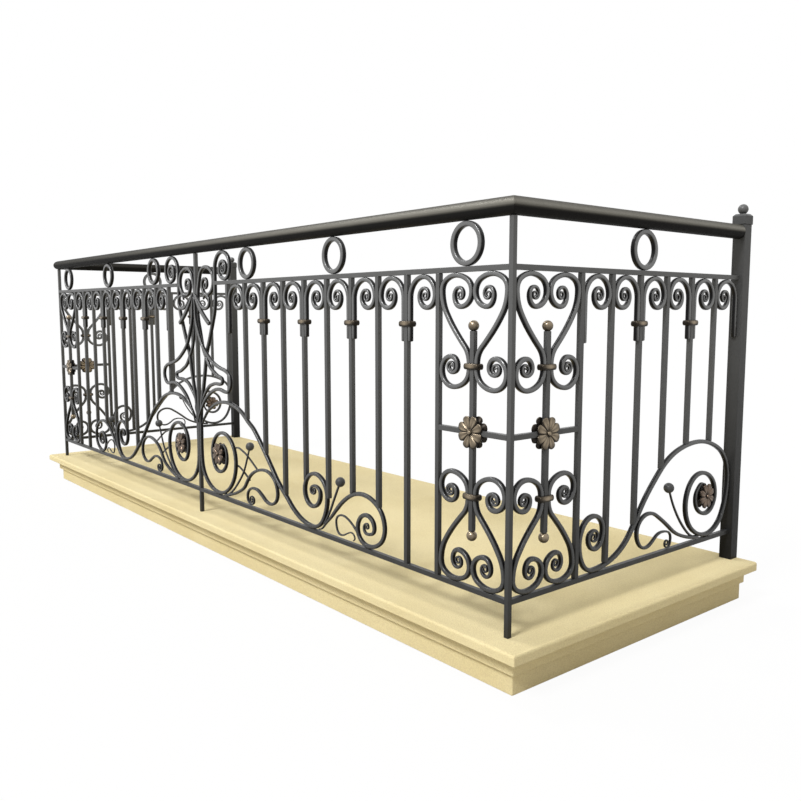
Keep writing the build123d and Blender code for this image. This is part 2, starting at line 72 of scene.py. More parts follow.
# %% A socket that can be added, scaled and compared
class Wire:
    """An output socket; a sum with it adds the Math node that the sum needs."""

    def __init__(self, bench, socket):
        self.bench, self.socket = bench, socket

    def out(self, name):
        return Wire(self.bench, self.socket.node.outputs[name])

    def __add__(self, other):
        return self.bench.maths("ADD", self, other)

    def __radd__(self, other):
        return self.bench.maths("ADD", other, self)

    def __sub__(self, other):
        return self.bench.maths("SUBTRACT", self, other)

    def __rsub__(self, other):
        return self.bench.maths("SUBTRACT", other, self)

    def __mul__(self, other):
        return self.bench.maths("MULTIPLY", self, other)

    def __rmul__(self, other):
        return self.bench.maths("MULTIPLY", other, self)

    def __truediv__(self, other):
        return self.bench.maths("DIVIDE", self, other)

    def __pow__(self, other):
        return self.bench.maths("POWER", self, other)

    def __abs__(self):
        return self.bench.maths("ABSOLUTE", self)


# %% A bench that sets out nodes
class Bench:
    """Adds nodes to one tree: settings first, then the values and links of the inputs."""

    def __init__(self, tree):
        self.tree = tree

    def node(self, kind, settings=None, inputs=None, output=0):
        made = self.tree.nodes.new(kind)
        for name, value in (settings or {}).items():
            if name == "captured":
                for label, field_kind in value:
                    made.capture_items.new(field_kind, label)
            else:
                setattr(made, name, value)
        for name, value in (inputs or {}).items():
            if isinstance(value, Wire):
                self.tree.links.new(value.socket, made.inputs[name])
            else:
                made.inputs[name].default_value = value
        return Wire(self, made.outputs[output]) if len(made.outputs) else made

    def maths(self, operation, *values):
        return self.node("ShaderNodeMath", {"operation": operation}, dict(enumerate(values)))

    def vectors(self, operation, *values):
        return self.node("ShaderNodeVectorMath", {"operation": operation}, dict(enumerate(values)))

    def scaled(self, vector, factor):
        return self.node("ShaderNodeVectorMath", {"operation": "SCALE"}, {0: vector, "Scale": factor})

    def blend(self, factor, first, second):
        return self.node("ShaderNodeMix", {"data_type": "RGBA"}, {0: factor, 6: first, 7: second}, 2)


trial = bpy.data.node_groups.new("Trial", "GeometryNodeTree")
level = 1 - Bench(trial).maths("SINE", 0.5) * 2
print("1 - sin(x) * 2 set out", len(trial.nodes), "nodes and ends in", level.socket.node.operation)
bpy.data.node_groups.remove(trial)


# %% [markdown]
# ## Where the sides stand
# The railing has a front and two returns. Each scroll is drawn flat, as a smith chalks it on the bench:
# so far along the side and so far up from the floor. A `Side` turns such a flat point into a place in the
# frame. The two halves of the front and the two returns are mirror images, so each drawing is used twice.
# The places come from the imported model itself, not from numbers typed again.

# %% The four half-sides of the railing
post_low, post_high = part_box("rail_posts")
post_width = post_high.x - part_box("upper_rail_front")[1].x
front_y = (post_low.y + post_high.y) / 2
half_front = post_high.x - post_width / 2
floor_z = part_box("floor_slab")[1].z


class Side:
    """A flat drawing plane: its foot, the way it runs, and the way that is out."""

    def __init__(self, foot, along, out):
        self.foot, self.along, self.out = Vector(foot), Vector(along), Vector(out)

    def place(self, along, up, out=0.0):
        return self.foot + self.along * along + UP * up + self.out * out


front_sides = (
    Side((0, front_y, floor_z), (1, 0, 0), (0, -1, 0)),
    Side((0, front_y, floor_z), (-1, 0, 0), (0, -1, 0)),
)
return_sides = (
    Side((half_front, front_y, floor_z), (0, 1, 0), (1, 0, 0)),
    Side((-half_front, front_y, floor_z), (0, 1, 0), (-1, 0, 0)),
)
print("post width, half front and floor height:", *rounded((post_width, half_front, floor_z)))

# %% Sizes that the drawings share, in millimetres
pitch = 120.0
bar, scroll_bar, branch_bar, sprout_bar, wire = 13.0, 12.0, 10.0, 7.0, 6.0
crook_tail, collar_drop, collar_height, collar_lip = 168.0, 123.0, 15.0, 6.0
fit = 0.3
upper_rail_bottom = (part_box("upper_rail_front")[0].z - floor_z) / MM
upper_rail_top = (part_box("upper_rail_front")[1].z - floor_z) / MM
bottom_rail_top = (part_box("bottom_rail_front")[1].z - floor_z) / MM
handrail_bottom = (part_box("handrail_front")[0].z - floor_z) / MM
return_run = (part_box("upper_rail_returns")[1].y - front_y) / MM
panel_middle = (upper_rail_bottom + bottom_rail_top) / 2
front_panel_axis = half_front / MM - pitch
stem = (bar + scroll_bar) / 2
flank = pitch - bar / 2 - fit - scroll_bar / 2
crest = upper_rail_bottom - fit - scroll_bar / 2
on_rail = bottom_rail_top + fit + scroll_bar / 2
print("upper rail, handrail and return:", *rounded((upper_rail_bottom, handrail_bottom, return_run)))

# %% [markdown]
# ## The line of a scroll
# A smith's scroll is a chain of arcs that pass smoothly into each other. Each waypoint says where the bar
# passes and in which direction; between two waypoints there is always a pair of arcs that meet without a
# kink. The line is sampled closely where it bends hard and hardly at all where it runs straight, which
# keeps the mesh small and the silhouette round.

# %% Pairs of tangent arcs through waypoints
def heading(angle):
    """Unit direction of an angle above the level, in the drawing plane."""
    return Vector((cos(radians(angle)), sin(radians(angle))))


def meeting_point(start, start_angle, end, end_angle):
    """Where the two arcs between a pair of waypoints meet."""
    across = end - start
    leave, arrive = heading(start_angle), heading(end_angle)
    along = across.dot(leave + arrive)
    spread = 2 * (1 - leave.dot(arrive))
    if spread < 1e-9:
        reach = across.dot(across) / (2 * along)
    else:
        reach = (sqrt(along * along + spread * across.dot(across)) - along) / spread
    return (start + end + (leave - arrive) * reach) / 2


def scroll_line(waypoints, sag=0.07):
    """Places and travel along the arcs through waypoints of (along, up, angle)."""
    places, travels, angle = [Vector(waypoints[0][:2])], [0.0], waypoints[0][2]
    for (x0, z0, first), (x1, z1, last) in zip(waypoints[:-1], waypoints[1:]):
        for point in (meeting_point(Vector((x0, z0)), first, Vector((x1, z1)), last), Vector((x1, z1))):
            start, travel = places[-1], travels[-1]
            chord = point - start
            half_turn = atan2(chord.dot(heading(angle + 90)), chord.dot(heading(angle)))
            length = chord.length * (half_turn / sin(half_turn) if half_turn else 1)
            steps = 1
            if abs(half_turn) > 0.01:
                radius = length / 2 / abs(half_turn)
                steps = ceil(abs(half_turn) / acos(1 - min(sag / radius, 0.03)))
            for step in range(1, steps + 1):
                turned = half_turn * step / steps
                reach = chord.length * (sin(turned) / sin(half_turn) if half_turn else 1)
                places.append(start + heading(angle + degrees(turned)) * reach)
                travels.append(travel + length * step / steps)
            angle += 2 * degrees(half_turn)
    return places, travels


trial_places, trial_travels = scroll_line([(0, 0, 0), (50, 50, 90)])
print("a quarter turn of radius 50:", round(trial_travels[-1], 1), "mm long,", len(trial_places), "points")


# %% [markdown]
# ## A tree that forges a bar
# Sweeping a profile along a curve is what Curve to Mesh does, but a forged bar thins faster in width than
# in depth towards its tips, so one radius isn't enough. The tree below keeps the swept topology and works
# out each place itself: the centre line, plus so much to the side, plus so much outwards. The profile lies
# between a square and a circle, which is how a hammered and painted bar looks. Near an end the bar is
# drawn down to its tip and then rounded off. The tree also stores how far out each point lies, as `crown`,
# so that the finish knows the faces from the flanks.

# %% Starting and ending a tree
def new_tree(name, sockets):
    """A Geometry Nodes tree with a geometry in, a geometry out and named inputs."""
    tree = bpy.data.node_groups.new(name, "GeometryNodeTree")
    tree.interface.new_socket(name="Geometry", in_out="INPUT", socket_type="NodeSocketGeometry")
    tree.interface.new_socket(name="Geometry", in_out="OUTPUT", socket_type="NodeSocketGeometry")
    for label, kind in sockets:
        tree.interface.new_socket(name=label, in_out="INPUT", socket_type=kind)
    return tree, Bench(tree)


def attribute(bench, name, kind="FLOAT"):
    return bench.node("GeometryNodeInputNamedAttribute", {"data_type": kind}, {"Name": name})


def finish_tree(bench, geometry, material):
    """Every tree ends in Realize Instances and Set Material."""
    whole = bench.node("GeometryNodeRealizeInstances", inputs={"Geometry": geometry})
    coated = bench.node("GeometryNodeSetMaterial", inputs={"Geometry": whole, "Material": material})
    bench.node("NodeGroupOutput", inputs={"Geometry": coated})


# %% The forging tree
forge_tree, b = new_tree("Forged bar", (
    ("Width", "NodeSocketFloat"),
    ("Depth", "NodeSocketFloat"),
    ("Start Tip", "NodeSocketFloat"),
    ("End Tip", "NodeSocketFloat"),
    ("Taper", "NodeSocketFloat"),
    ("Softness", "NodeSocketFloat"),
    ("Clear of Middle", "NodeSocketFloat"),
    ("Sides", "NodeSocketInt"),
    ("Finish", "NodeSocketMaterial"),
))
given = b.node("NodeGroupInput")
width, depth, taper = given.out("Width"), given.out("Depth"), given.out("Taper")
start_tip, end_tip = given.out("Start Tip"), given.out("End Tip")
travel, to_go = attribute(b, "travel"), attribute(b, "to_go")
drawn_start = (start_tip + (width - start_tip) * travel / taper) / width
drawn_end = (end_tip + (width - end_tip) * to_go / taper) / width
slender = b.maths("MINIMUM", b.maths("MINIMUM", drawn_start, drawn_end), 1.0)
nose = b.maths("MINIMUM", b.maths("MINIMUM", travel, to_go) / (width * 0.28) + 0.12, 1.0)
rounded_off = b.maths("SQRT", 1 - (1 - nose) ** 2)
centre = b.node("GeometryNodeMeshToCurve", inputs={"Mesh": given.out("Geometry")})
out_way = attribute(b, "out", "FLOAT_VECTOR")
side_way = b.vectors("NORMALIZE", b.vectors("CROSS_PRODUCT", out_way, b.node("GeometryNodeInputTangent")))
path = b.node(
    "GeometryNodeCaptureAttribute",
    {"captured": (("centre", "VECTOR"), ("side", "VECTOR"), ("wide", "FLOAT"), ("deep", "FLOAT"))},
    {
        "Geometry": centre,
        "centre": b.node("GeometryNodeInputPosition"),
        "side": side_way,
        "wide": slender * rounded_off * width / 2,
        "deep": (0.75 * slender + 0.25) * rounded_off * depth / 2,
    },
)
ring = b.node("GeometryNodeCurvePrimitiveCircle", inputs={"Resolution": given.out("Sides"), "Radius": 1.0})
turned = b.node("GeometryNodeTransform", inputs={"Geometry": ring, "Rotation": (0, 0, pi / 16)})
spot = b.node("ShaderNodeSeparateXYZ", inputs={0: b.node("GeometryNodeInputPosition")})
soft_x = b.maths("SIGN", spot) * abs(spot) ** given.out("Softness")
soft_y = b.maths("SIGN", spot.out("Y")) * abs(spot.out("Y")) ** given.out("Softness")
profile = b.node(
    "GeometryNodeCaptureAttribute",
    {"captured": (("across", "FLOAT"), ("outward", "FLOAT"))},
    {"Geometry": turned, "across": soft_x, "outward": soft_y},
)
swept = b.node(
    "GeometryNodeCurveToMesh",
    inputs={"Curve": path, "Profile Curve": profile, "Fill Caps": True},
)
sideways = b.scaled(path.out("side"), profile.out("across") * path.out("wide"))
outwards = b.scaled(out_way, profile.out("outward") * path.out("deep"))
laid = b.vectors("ADD", path.out("centre"), b.vectors("ADD", sideways, outwards))
parts = b.node("ShaderNodeSeparateXYZ", inputs={0: laid})
hand = attribute(b, "hand")
clear_x = hand * b.maths("MAXIMUM", parts * hand, given.out("Clear of Middle"))
kept = b.node("ShaderNodeCombineXYZ", inputs={0: clear_x, 1: parts.out("Y"), 2: parts.out("Z")})
formed = b.node("GeometryNodeSetPosition", inputs={"Geometry": swept, "Position": kept})
smooth = b.node("GeometryNodeSetShadeSmooth", inputs={"Geometry": formed})
told = b.node(
    "GeometryNodeStoreNamedAttribute",
    {"data_type": "FLOAT", "domain": "POINT"},
    {"Geometry": smooth, "Name": "crown", "Value": abs(profile.out("outward"))},
)
finish_tree(b, told, given.out("Finish"))
print("forging tree:", len(forge_tree.nodes), "nodes")

# %% [markdown]
# ## From a drawing to a bar
# The drawing goes to the tree as a mesh of edges that carries what the tree needs: the way that is out,
# the hand of the mirror image, and how far each point is from both ends. The inputs are set by each
# socket's identifier before the object is evaluated for the first time; the result is then made a plain
# mesh, and the tree comes off. Its faces are turned outwards once, because a mirrored bar is inside out.

# %% Laying lines out
def lines_mesh(name, runs):
    """Edges along runs of (side, line, out, closed), for the forging tree."""
    mesh = bpy.data.meshes.new(name)
    points, edges, outs, hands, travels, to_go = [], [], [], [], [], []
    for side, (places, travel), out, closed in runs:
        start = len(points)
        for place, gone in zip(places, travel):
            points.append(side.place(place.x * MM, place.y * MM, out * MM))
            outs.append(side.out)
            hands.append(1.0 if side.along.x + side.foot.x > 0 else -1.0)
            travels.append(1.0 if closed else gone * MM)
            to_go.append(1.0 if closed else (travel[-1] - gone) * MM)
        edges += [(index, index + 1) for index in range(start, len(points) - 1)]
        if closed:
            edges.append((len(points) - 1, start))
    mesh.from_pydata(points, edges, [])
    for label, kind, values in (
        ("out", "FLOAT_VECTOR", [value for way in outs for value in way]),
        ("hand", "FLOAT", hands),
        ("travel", "FLOAT", travels),
        ("to_go", "FLOAT", to_go),
    ):
        layer = mesh.attributes.new(label, kind, "POINT")
        layer.data.foreach_set("vector" if kind == "FLOAT_VECTOR" else "value", values)
    return mesh


def close_ends(line):
    """The same line with a few more points near its ends, where the bar is rounded off."""
    places, travels = line
    from_end = (0.0, 0.35, 1.0, 2.2)
    first_run, last_run = travels[1], travels[-1] - travels[-2]
    first = [(places[0].lerp(places[1], gap / first_run), gap) for gap in from_end if gap < first_run * 0.9]
    last = [
        (places[-1].lerp(places[-2], gap / last_run), travels[-1] - gap)
        for gap in reversed(from_end)
        if gap < last_run * 0.9
    ]
    pairs = first + list(zip(places[1:-1], travels[1:-1])) + last
    return [pair[0] for pair in pairs], [pair[1] for pair in pairs]


# %% Running a tree on a mesh
told_by_points = ("out", "hand", "travel", "to_go", "facing", "upright", "scale")


def run_tree(name, mesh, tree, values):
    """The plain mesh that a tree makes of a mesh, turned outwards, as a new object."""
    raw = bpy.data.objects.new(name + "_lines", mesh)
    bpy.context.scene.collection.objects.link(raw)
    modifier = raw.modifiers.new("Tree", "NODES")
    modifier.node_group = tree
    sockets = {item.name: item.identifier for item in tree.interface.items_tree if item.in_out == "INPUT"}
    for label, value in values.items():
        modifier[sockets[label]] = value
    graph = bpy.context.evaluated_depsgraph_get()
    made = bpy.data.meshes.new_from_object(raw.evaluated_get(graph), depsgraph=graph)
    raw.modifiers.remove(modifier)
    bpy.data.objects.remove(raw)
    return piece_from(name, made)


def piece_from(name, mesh, turn_out=True):
    """An object at the origin that holds a finished mesh."""
    if turn_out:
        shell = bmesh.new()
        shell.from_mesh(mesh)
        bmesh.ops.recalc_face_normals(shell, faces=shell.faces)
        shell.to_mesh(mesh)
        shell.free()
    for label in told_by_points:
        if label in mesh.attributes:
            mesh.attributes.remove(mesh.attributes[label])
    mesh.name = name
    piece = bpy.data.objects.new(name, mesh)
    bpy.context.scene.collection.objects.link(piece)
    return piece


def belongs(piece, slot, *nodes):
    """The piece rides on the railing and stands for its nodes, which are hidden; slot is not used."""
    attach(piece, "root")
    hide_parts(*nodes)
    print(piece.name, len(piece.data.polygons), "faces, for", *nodes)
    return piece


print("what points tell the trees:", *told_by_points)

# %% [markdown]
# ## The iron finish
# The real railing is painted a graphite grey with a satin sheen. Up close the paint lies over hammered
# iron: broad shallow dents and a fine skin from the brush. A single dark grey would look like plastic.
# Here a coarse and a fine noise shape the bump, the dents also vary the roughness, and one number blends
# the dark paint into a pale one; that blend is painted light and shade. Each kind of bar has its own rule
# for that share: straight bars and newels are painted paler on faces that look up, scrolls are painted
# pale on their faces and nearly black on their flanks by the `crown` that the forging tree stored, and
# the handrail gets a painted highlight along its upper shoulder, strongest towards one corner. The foot
# of the railing is painted darker than its top, a painted shade. Patterns read Object coordinates, which
# are in metres for every piece, so the grain has one scale on the whole railing.

# %% A material with its bench
def new_material(name):
    material = bpy.data.materials.new(name)
    material.use_nodes = True
    material.node_tree.nodes.clear()
    return material, Bench(material.node_tree)


def surface(bench, inputs):
    """Principled surface with the given inputs, wired to the output."""
    shader = bench.node("ShaderNodeBsdfPrincipled", inputs=inputs)
    bench.node("ShaderNodeOutputMaterial", inputs={"Surface": shader})


def noise(bench, coordinates, scale, detail, roughness=0.5):
    return bench.node(
        "ShaderNodeTexNoise",
        inputs={"Vector": coordinates, "Scale": scale, "Detail": detail, "Roughness": roughness},
    )


def ramp(bench, value, low, high):
    """The value's range from low to high spread over 0 to 1."""
    limits = {"Value": value, "From Min": low, "From Max": high}
    return bench.node("ShaderNodeMapRange", {"interpolation_type": "SMOOTHSTEP"}, limits)


def facing_up(bench):
    normal = bench.node("ShaderNodeNewGeometry").out("Normal")
    return bench.node("ShaderNodeSeparateXYZ", inputs={0: normal}).out("Z")


def crown_of(bench):
    return bench.node("ShaderNodeAttribute", {"attribute_name": "crown"}).out("Fac")


# %% Graphite paint over hammered iron
# The pale paints stand for lit faces and the dark paint for shaded ones: painted light and shade.
lit_paint, lit_scroll_paint = (0.150, 0.153, 0.155, 1), (0.185, 0.188, 0.190, 1)
dark_paint = (0.010, 0.010, 0.011, 1)
tone_at_head = 1.12


def iron_finish(
    name, painted_light_share, shine=0.3, ior=1.22, foot=0.32, polish=0.30, lit_colour=lit_paint, dark=dark_paint
):
    """Graphite paint; the share function builds, from a bench, the pattern of painted light: where the paint
    is made pale as if lit.
    """
    material, bench = new_material(name)
    place = bench.node("ShaderNodeTexCoord").out("Object")
    dents = noise(bench, place, 95.0, 1.5)
    skin = noise(bench, place, 620.0, 3.0, 0.6)
    mottle = noise(bench, place, 22.0, 3.0)
    height = ramp(bench, bench.node("ShaderNodeSeparateXYZ", inputs={0: place}).out("Z"), 0.0, 1.0)
    # The share of painted light: 1 gives the pale, lit-looking paint, 0 the dark, shaded-looking one.
    pale_share = painted_light_share(bench)
    colour = bench.blend(pale_share, dark, lit_colour)
    # Darker towards the foot and paler towards the head, a painted shade; skin and mottle add random tone.
    tone = foot + (tone_at_head - foot) * height + 0.22 * (skin - 0.5) + 0.15 * (mottle - 0.5)
    hammered = {"Strength": 0.4, "Distance": 0.0012, "Height": dents * 0.75 + skin * 0.25}
    surface(bench, {
        "Base Color": bench.scaled(colour, tone),
        "Roughness": polish + 0.10 * ramp(bench, dents, 0.3, 0.7),
        "IOR": ior,
        "Metallic": shine * pale_share,
        "Normal": bench.node("ShaderNodeBump", inputs=hammered),
    })
    return material


# %% Where light and shade are painted on each kind of iron
def lit_faces_shaded_flanks(bench):
    """Painted light on a scroll bar: pale on its faces, which the crown tells, and on faces that look up;
    painted shade on its flanks and on faces that look down.
    """
    return ramp(bench, crown_of(bench) + facing_up(bench) * 0.25, 0.45, 1.1)


def painted_rail_highlight(bench):
    """A painted highlight band on the handrail's upper shoulder, weaker on its top, none underneath,
    strongest towards one corner.
    """
    place = bench.node("ShaderNodeTexCoord").out("Object")
    along = ramp(bench, bench.node("ShaderNodeSeparateXYZ", inputs={0: place}), -1.6, 1.5)
    up = facing_up(bench)
    return ramp(bench, up, -0.25, 0.35) * (1 - 0.65 * ramp(bench, up, 0.35, 0.95)) * (0.15 + 0.85 * along)


# Straight bars: painted paler on faces that look up and darker on faces that look down.
iron = iron_finish("graphite_bars", lambda bench: 0.75 + 0.3 * facing_up(bench))
# Newels: darker overall, the same painted light by facing, and a stronger painted shade towards the foot.
newel_iron = iron_finish("graphite_newels", lambda bench: 0.5 + 0.3 * facing_up(bench), ior=1.15, foot=0.15)
# Scrolls: painted light on their faces and painted shade on their flanks.
scroll_iron = iron_finish("graphite_scrolls", lit_faces_shaded_flanks, shine=0.55, polish=0.24, lit_colour=lit_scroll_paint)
# Handrail: a pale colour for its painted highlight over a near-black paint.
rail_highlight_paint, dark_rail_paint = (0.20, 0.193, 0.170, 1), (0.014, 0.014, 0.014, 1)
rail_iron = iron_finish(
    "graphite_handrail", painted_rail_highlight, shine=0.5, ior=1.08, polish=0.42, lit_colour=rail_highlight_paint, dark=dark_rail_paint
)
print("iron finishes:", iron.name, newel_iron.name, scroll_iron.name, rail_iron.name)

# %% [markdown]
# ## The bronze finish
# Collars, spindle balls and rosettes are rubbed bronze: bright champagne on the crowns, nearly black-brown
# in the hollows. Each of these meshes stores how high a point stands in an attribute called `crown`, which
# the smith's rag would have reached first. Reading that attribute gives wear in the right places on any
# size of rosette, where a pattern in space couldn't know them. On top of that wear, faces that look up are
# painted paler and faces that look down darker, which is painted light and shade.

# %% Rubbed bronze
def bronze_finish(name, hollow_and_shaded_colour, rubbed_and_lit_colour):
    material, bench = new_material(name)
    place = bench.node("ShaderNodeTexCoord").out("Object")
    spots = noise(bench, place, 240.0, 3.0, 0.6)
    # Wear by crown and random spots, plus painted light: faces that look up paler, faces that look down
    # darker.
    pale_share = ramp(bench, crown_of(bench) + (spots - 0.5) * 0.35 + facing_up(bench) * 0.45, 0.25, 1.05)
    surface(bench, {
        "Base Color": bench.blend(pale_share, hollow_and_shaded_colour, rubbed_and_lit_colour),
        "Roughness": 0.40 - 0.14 * pale_share,
        "Metallic": 0.8,
        "Normal": bench.node("ShaderNodeBump", inputs={"Strength": 0.2, "Distance": 0.0006, "Height": spots}),
    })
    return material


bronze = bronze_finish("rubbed_bronze", (0.020, 0.016, 0.012, 1), (0.31, 0.25, 0.175, 1))
dark_bronze = bronze_finish("dark_bronze", (0.020, 0.014, 0.011, 1), (0.20, 0.145, 0.105, 1))
print("bronze finishes:", bronze.name, dark_bronze.name)

# %% [markdown]
# ## The sandstone finish
# The floor is a pale yellow sandstone, cut smooth. It has a fine sandy grain, soft clouds of warmer and
# cooler cream, and a few darker specks. The grain is fine enough that most of it is felt as a matt
# surface; a shallow bump gives the sides their slightly sanded look.

# %% Sawn sandstone
stone, b = new_material("cream_sandstone")
place = b.node("ShaderNodeTexCoord").out("Object")
clouds = noise(b, place, 3.5, 4.0, 0.55)
grain = noise(b, place, 300.0, 5.0, 0.75)
specks = ramp(b, noise(b, place, 900.0, 1.0), 0.62, 0.75)
warm_cream, cool_cream = (0.86, 0.745, 0.425, 1), (0.92, 0.81, 0.49, 1)
sand, dark_speck = (0.60, 0.47, 0.25, 1), (0.42, 0.31, 0.16, 1)
colour = b.blend(ramp(b, clouds, 0.3, 0.7), warm_cream, cool_cream)
colour = b.blend(ramp(b, grain, 0.42, 0.62) * 0.35, colour, sand)
colour = b.blend(specks * 0.4, colour, dark_speck)
surface(b, {
    "Base Color": colour,
    "Roughness": 0.88,
    "Specular IOR Level": 0.25,
    "Normal": b.node("ShaderNodeBump", inputs={"Strength": 0.7, "Distance": 0.003, "Height": grain}),
})
print("stone finish:", stone.name)


# %% [markdown]
# ## Forging the scrolls
# One call forges all the bars of one kind: it draws the line on each side of the railing, runs the tree
# and hides the node of the measured model that the piece stands for. The waypoints are those of the
# measured model, in millimetres along the side and up from the floor.

# %% Forge one kind of bar
forged_section, ring_section, round_section = 0.68, 0.45, 0.8
added_depth = 2.0
eye_tip, root_tip, fine_tip, curl_tip = 3.2, 5.0, 3.0, 6.0
anywhere = -1000.0


def forge(
    name, node, runs, width, depth=None, start_tip=None, end_tip=None, taper=110.0, clear=anywhere,
    softness=forged_section,
):
    """Bars along runs of (side, waypoints, out), with the same section and tips."""
    lines = [(side, close_ends(scroll_line(waypoints)), out, False) for side, waypoints, out in runs]
    piece = run_tree(name, lines_mesh(name, lines), forge_tree, {
        "Width": width * MM,
        "Depth": (depth or width + added_depth) * MM,
        "Start Tip": (start_tip or width) * MM,
        "End Tip": (end_tip or width) * MM,
        "Taper": taper * MM,
        "Softness": softness,
        "Clear of Middle": clear * MM,
        "Sides": 16,
        "Finish": scroll_iron,
    })
    return belongs(piece, "iron", node)


def each(sides, *paths, out=0.0):
    """Runs of the same drawings on every one of the sides."""
    return [(side, path, out) for side in sides for path in paths]


# %% Winding, turning and moving a drawing
def wound(waypoints, radius, quarters, ratio=0.8):
    """The drawing with more quarter turns wound onto its end, each tighter than the last."""
    longer = list(waypoints)
    (x0, z0, _), (x1, z1, _) = waypoints[-2:]
    facing = heading(waypoints[-1][2])
    hand = 1 if facing.cross(Vector((x0 - x1, z0 - z1))) > 0 else -1
    for quarter in range(quarters):
        x, z, angle = longer[-1]
        inward = heading(angle + 90 * hand)
        place = Vector((x, z)) + (heading(angle) + inward) * radius
        longer.append((place.x, place.y, angle + 90 * hand))
        radius *= ratio
    return longer


def turned_round(waypoints):
    """The same drawing, read from its other end."""
    return [(x, z, angle + 180) for x, z, angle in reversed(waypoints)]


def shifted(waypoints, along, hand=1, middle=0.0, flip=1):
    """The drawing moved along the side, and mirrored where hand or flip is -1."""
    moved = []
    for x, z, angle in waypoints:
        turned_angle = angle if hand > 0 else 180 - angle
        moved.append((along + hand * x, middle + flip * z, turned_angle if flip > 0 else -turned_angle))
    return moved


hook = [(0, 0, 90), (20, 20, 0)]
print("a hook wound one full turn further has", len(wound(hook, radius=10, quarters=4)), "waypoints")


# %% [markdown]
# ## Crooks under the upper rail
# Every second picket is flanked by two crooks: short bars that rise beside it, bend over under the rail
# and curl down into a small eye. They are bound to the picket by a collar. One drawing serves them all.

# %% Crooks of the front and the returns
def crook(bay):
    """A crook beside a picket at the origin, as wide as its bay."""
    reach = bay - bar / 2 - fit - scroll_bar / 2
    return [
        (stem, upper_rail_bottom - crook_tail, 90),
        (stem, crest - 52, 90),
        (stem + 51, crest, 0),
        (reach, crest - 45, 270),
        (reach - 30, crest - 76, 180),
        (reach - 59, crest - 48, 90),
        (reach - 41, crest - 28, 0),
        (reach - 25, crest - 45, 270),
        (reach - 37, crest - 57, 180),
    ]


def crook_runs(sides, pairs, right_only, newel=False):
    plain, wide = (wound(crook(bay), radius=9.2, quarters=4) for bay in (pitch, pitch + bar / 2))
    runs = []
    for side in sides:
        for number in (*right_only, *pairs):
            runs.append((side, shifted(plain, number * pitch), 0))
        for number in pairs:
            runs.append((side, shifted(plain, number * pitch, -1), 0))
        if newel:
            runs.append((side, shifted(wide, return_run + bar / 2, -1), 0))
    return runs


front_pairs, return_pairs = (4, 6, 8, 10), (4, 6)
front_runs = crook_runs(front_sides, front_pairs, (2,))
return_runs = crook_runs(return_sides, return_pairs, (2,), newel=True)
forge("front_crooks", "front_crook_scrolls", front_runs, scroll_bar, end_tip=eye_tip, taper=150.0)
forge("return_crooks", "return_crook_scrolls", return_runs, scroll_bar, end_tip=eye_tip, taper=150.0)

# %% [markdown]
# ## Hearts of the corner panels
# A heart is two scrolls back to back on the spindle, wide at the rail and small at the collar. The lower
# heart is the upper one turned over. Four panels with four bars each are all one drawing.

# %% Upper and lower hearts
collar_rise = 155.0
heart_top = crest - panel_middle
heart_path = [
    (64, 151, 90),
    (75, 162, 0),
    (86, 151, 270),
    (70, 137, 180),
    (52, 153, 90),
    (74, 176, 0),
    (flank, 141, 270),
    (67, 103, 180),
    (stem, collar_rise - collar_height / 2, 90),
    (stem, collar_rise + collar_height / 2, 90),
    (58, collar_rise + 78, 49),
    (flank, heart_top - 36, 90),
    (60, heart_top, 180),
    (scroll_bar / 2 + fit / 2, heart_top - 39, 270),
    (43, heart_top - 74, 0),
    (65, heart_top - 48, 90),
    (49, heart_top - 29, 180),
    (34, heart_top - 44, 270),
    (44, heart_top - 56, 0),
]
heart_path = wound(heart_path, radius=8.8, quarters=4)
heart_path = turned_round(wound(turned_round(heart_path), radius=8.6, quarters=4))
panels = [(side, front_panel_axis) for side in front_sides] + [(side, pitch) for side in return_sides]
for level, flip in (("upper", 1), ("lower", -1)):
    runs = [
        (side, shifted(heart_path, axis, hand, panel_middle, flip), 0)
        for side, axis in panels
        for hand in (1, -1)
    ]
    forge(
        level + "_hearts", level + "_heart_scrolls", runs, scroll_bar,
        start_tip=eye_tip, end_tip=eye_tip, taper=150.0,
    )

# %% [markdown]
# ## The lyre in the middle of the front
# The centre of the front is one long bar each side of the middle post. It starts in the rosette of the
# great volute, winds out, rests on the bottom rail, climbs beside the post, opens like a lyre and ends in
# a crook on the upper rail. Where it leans on the post it is dressed flat, which the tree does by keeping
# every point clear of the middle.

# %% Lyre bars
lyre_flank = 148.5
lyre_crest = handrail_bottom - fit - scroll_bar / 2
lyre_path = [
    (161, 272, 20),
    (178, 275, 0),
    (209, 232, 270),
    (150, 175, 180),
    (99.5, 240, 90),
    (181, 318, 0),
    (273.5, 225, 270),
    (141, on_rail, 180),
    (14, 200, 95),
    (stem + fit, 345, 90),
    (30, 440, 72),
    (52, 520, 75),
    (66, 580, 74),
    (103, 660, 66),
    (lyre_flank, 800, 90),
    (lyre_flank, 893, 90),
    (205, lyre_crest, 0),
    (259, 903, 270),
    (223, upper_rail_top + fit + scroll_bar / 2, 180),
    (184, 886, 90),
    (207, 920, 0),
    (232, 897, 270),
    (211, 878, 180),
    (196, 893, 90),
    (208, 906, 0),
]
forge(
    "lyre", "lyre_volutes", each(front_sides, wound(lyre_path, radius=9.5, quarters=4)), scroll_bar,
    depth=bar, start_tip=6.0, end_tip=eye_tip, taper=150.0, clear=bar / 2,
)

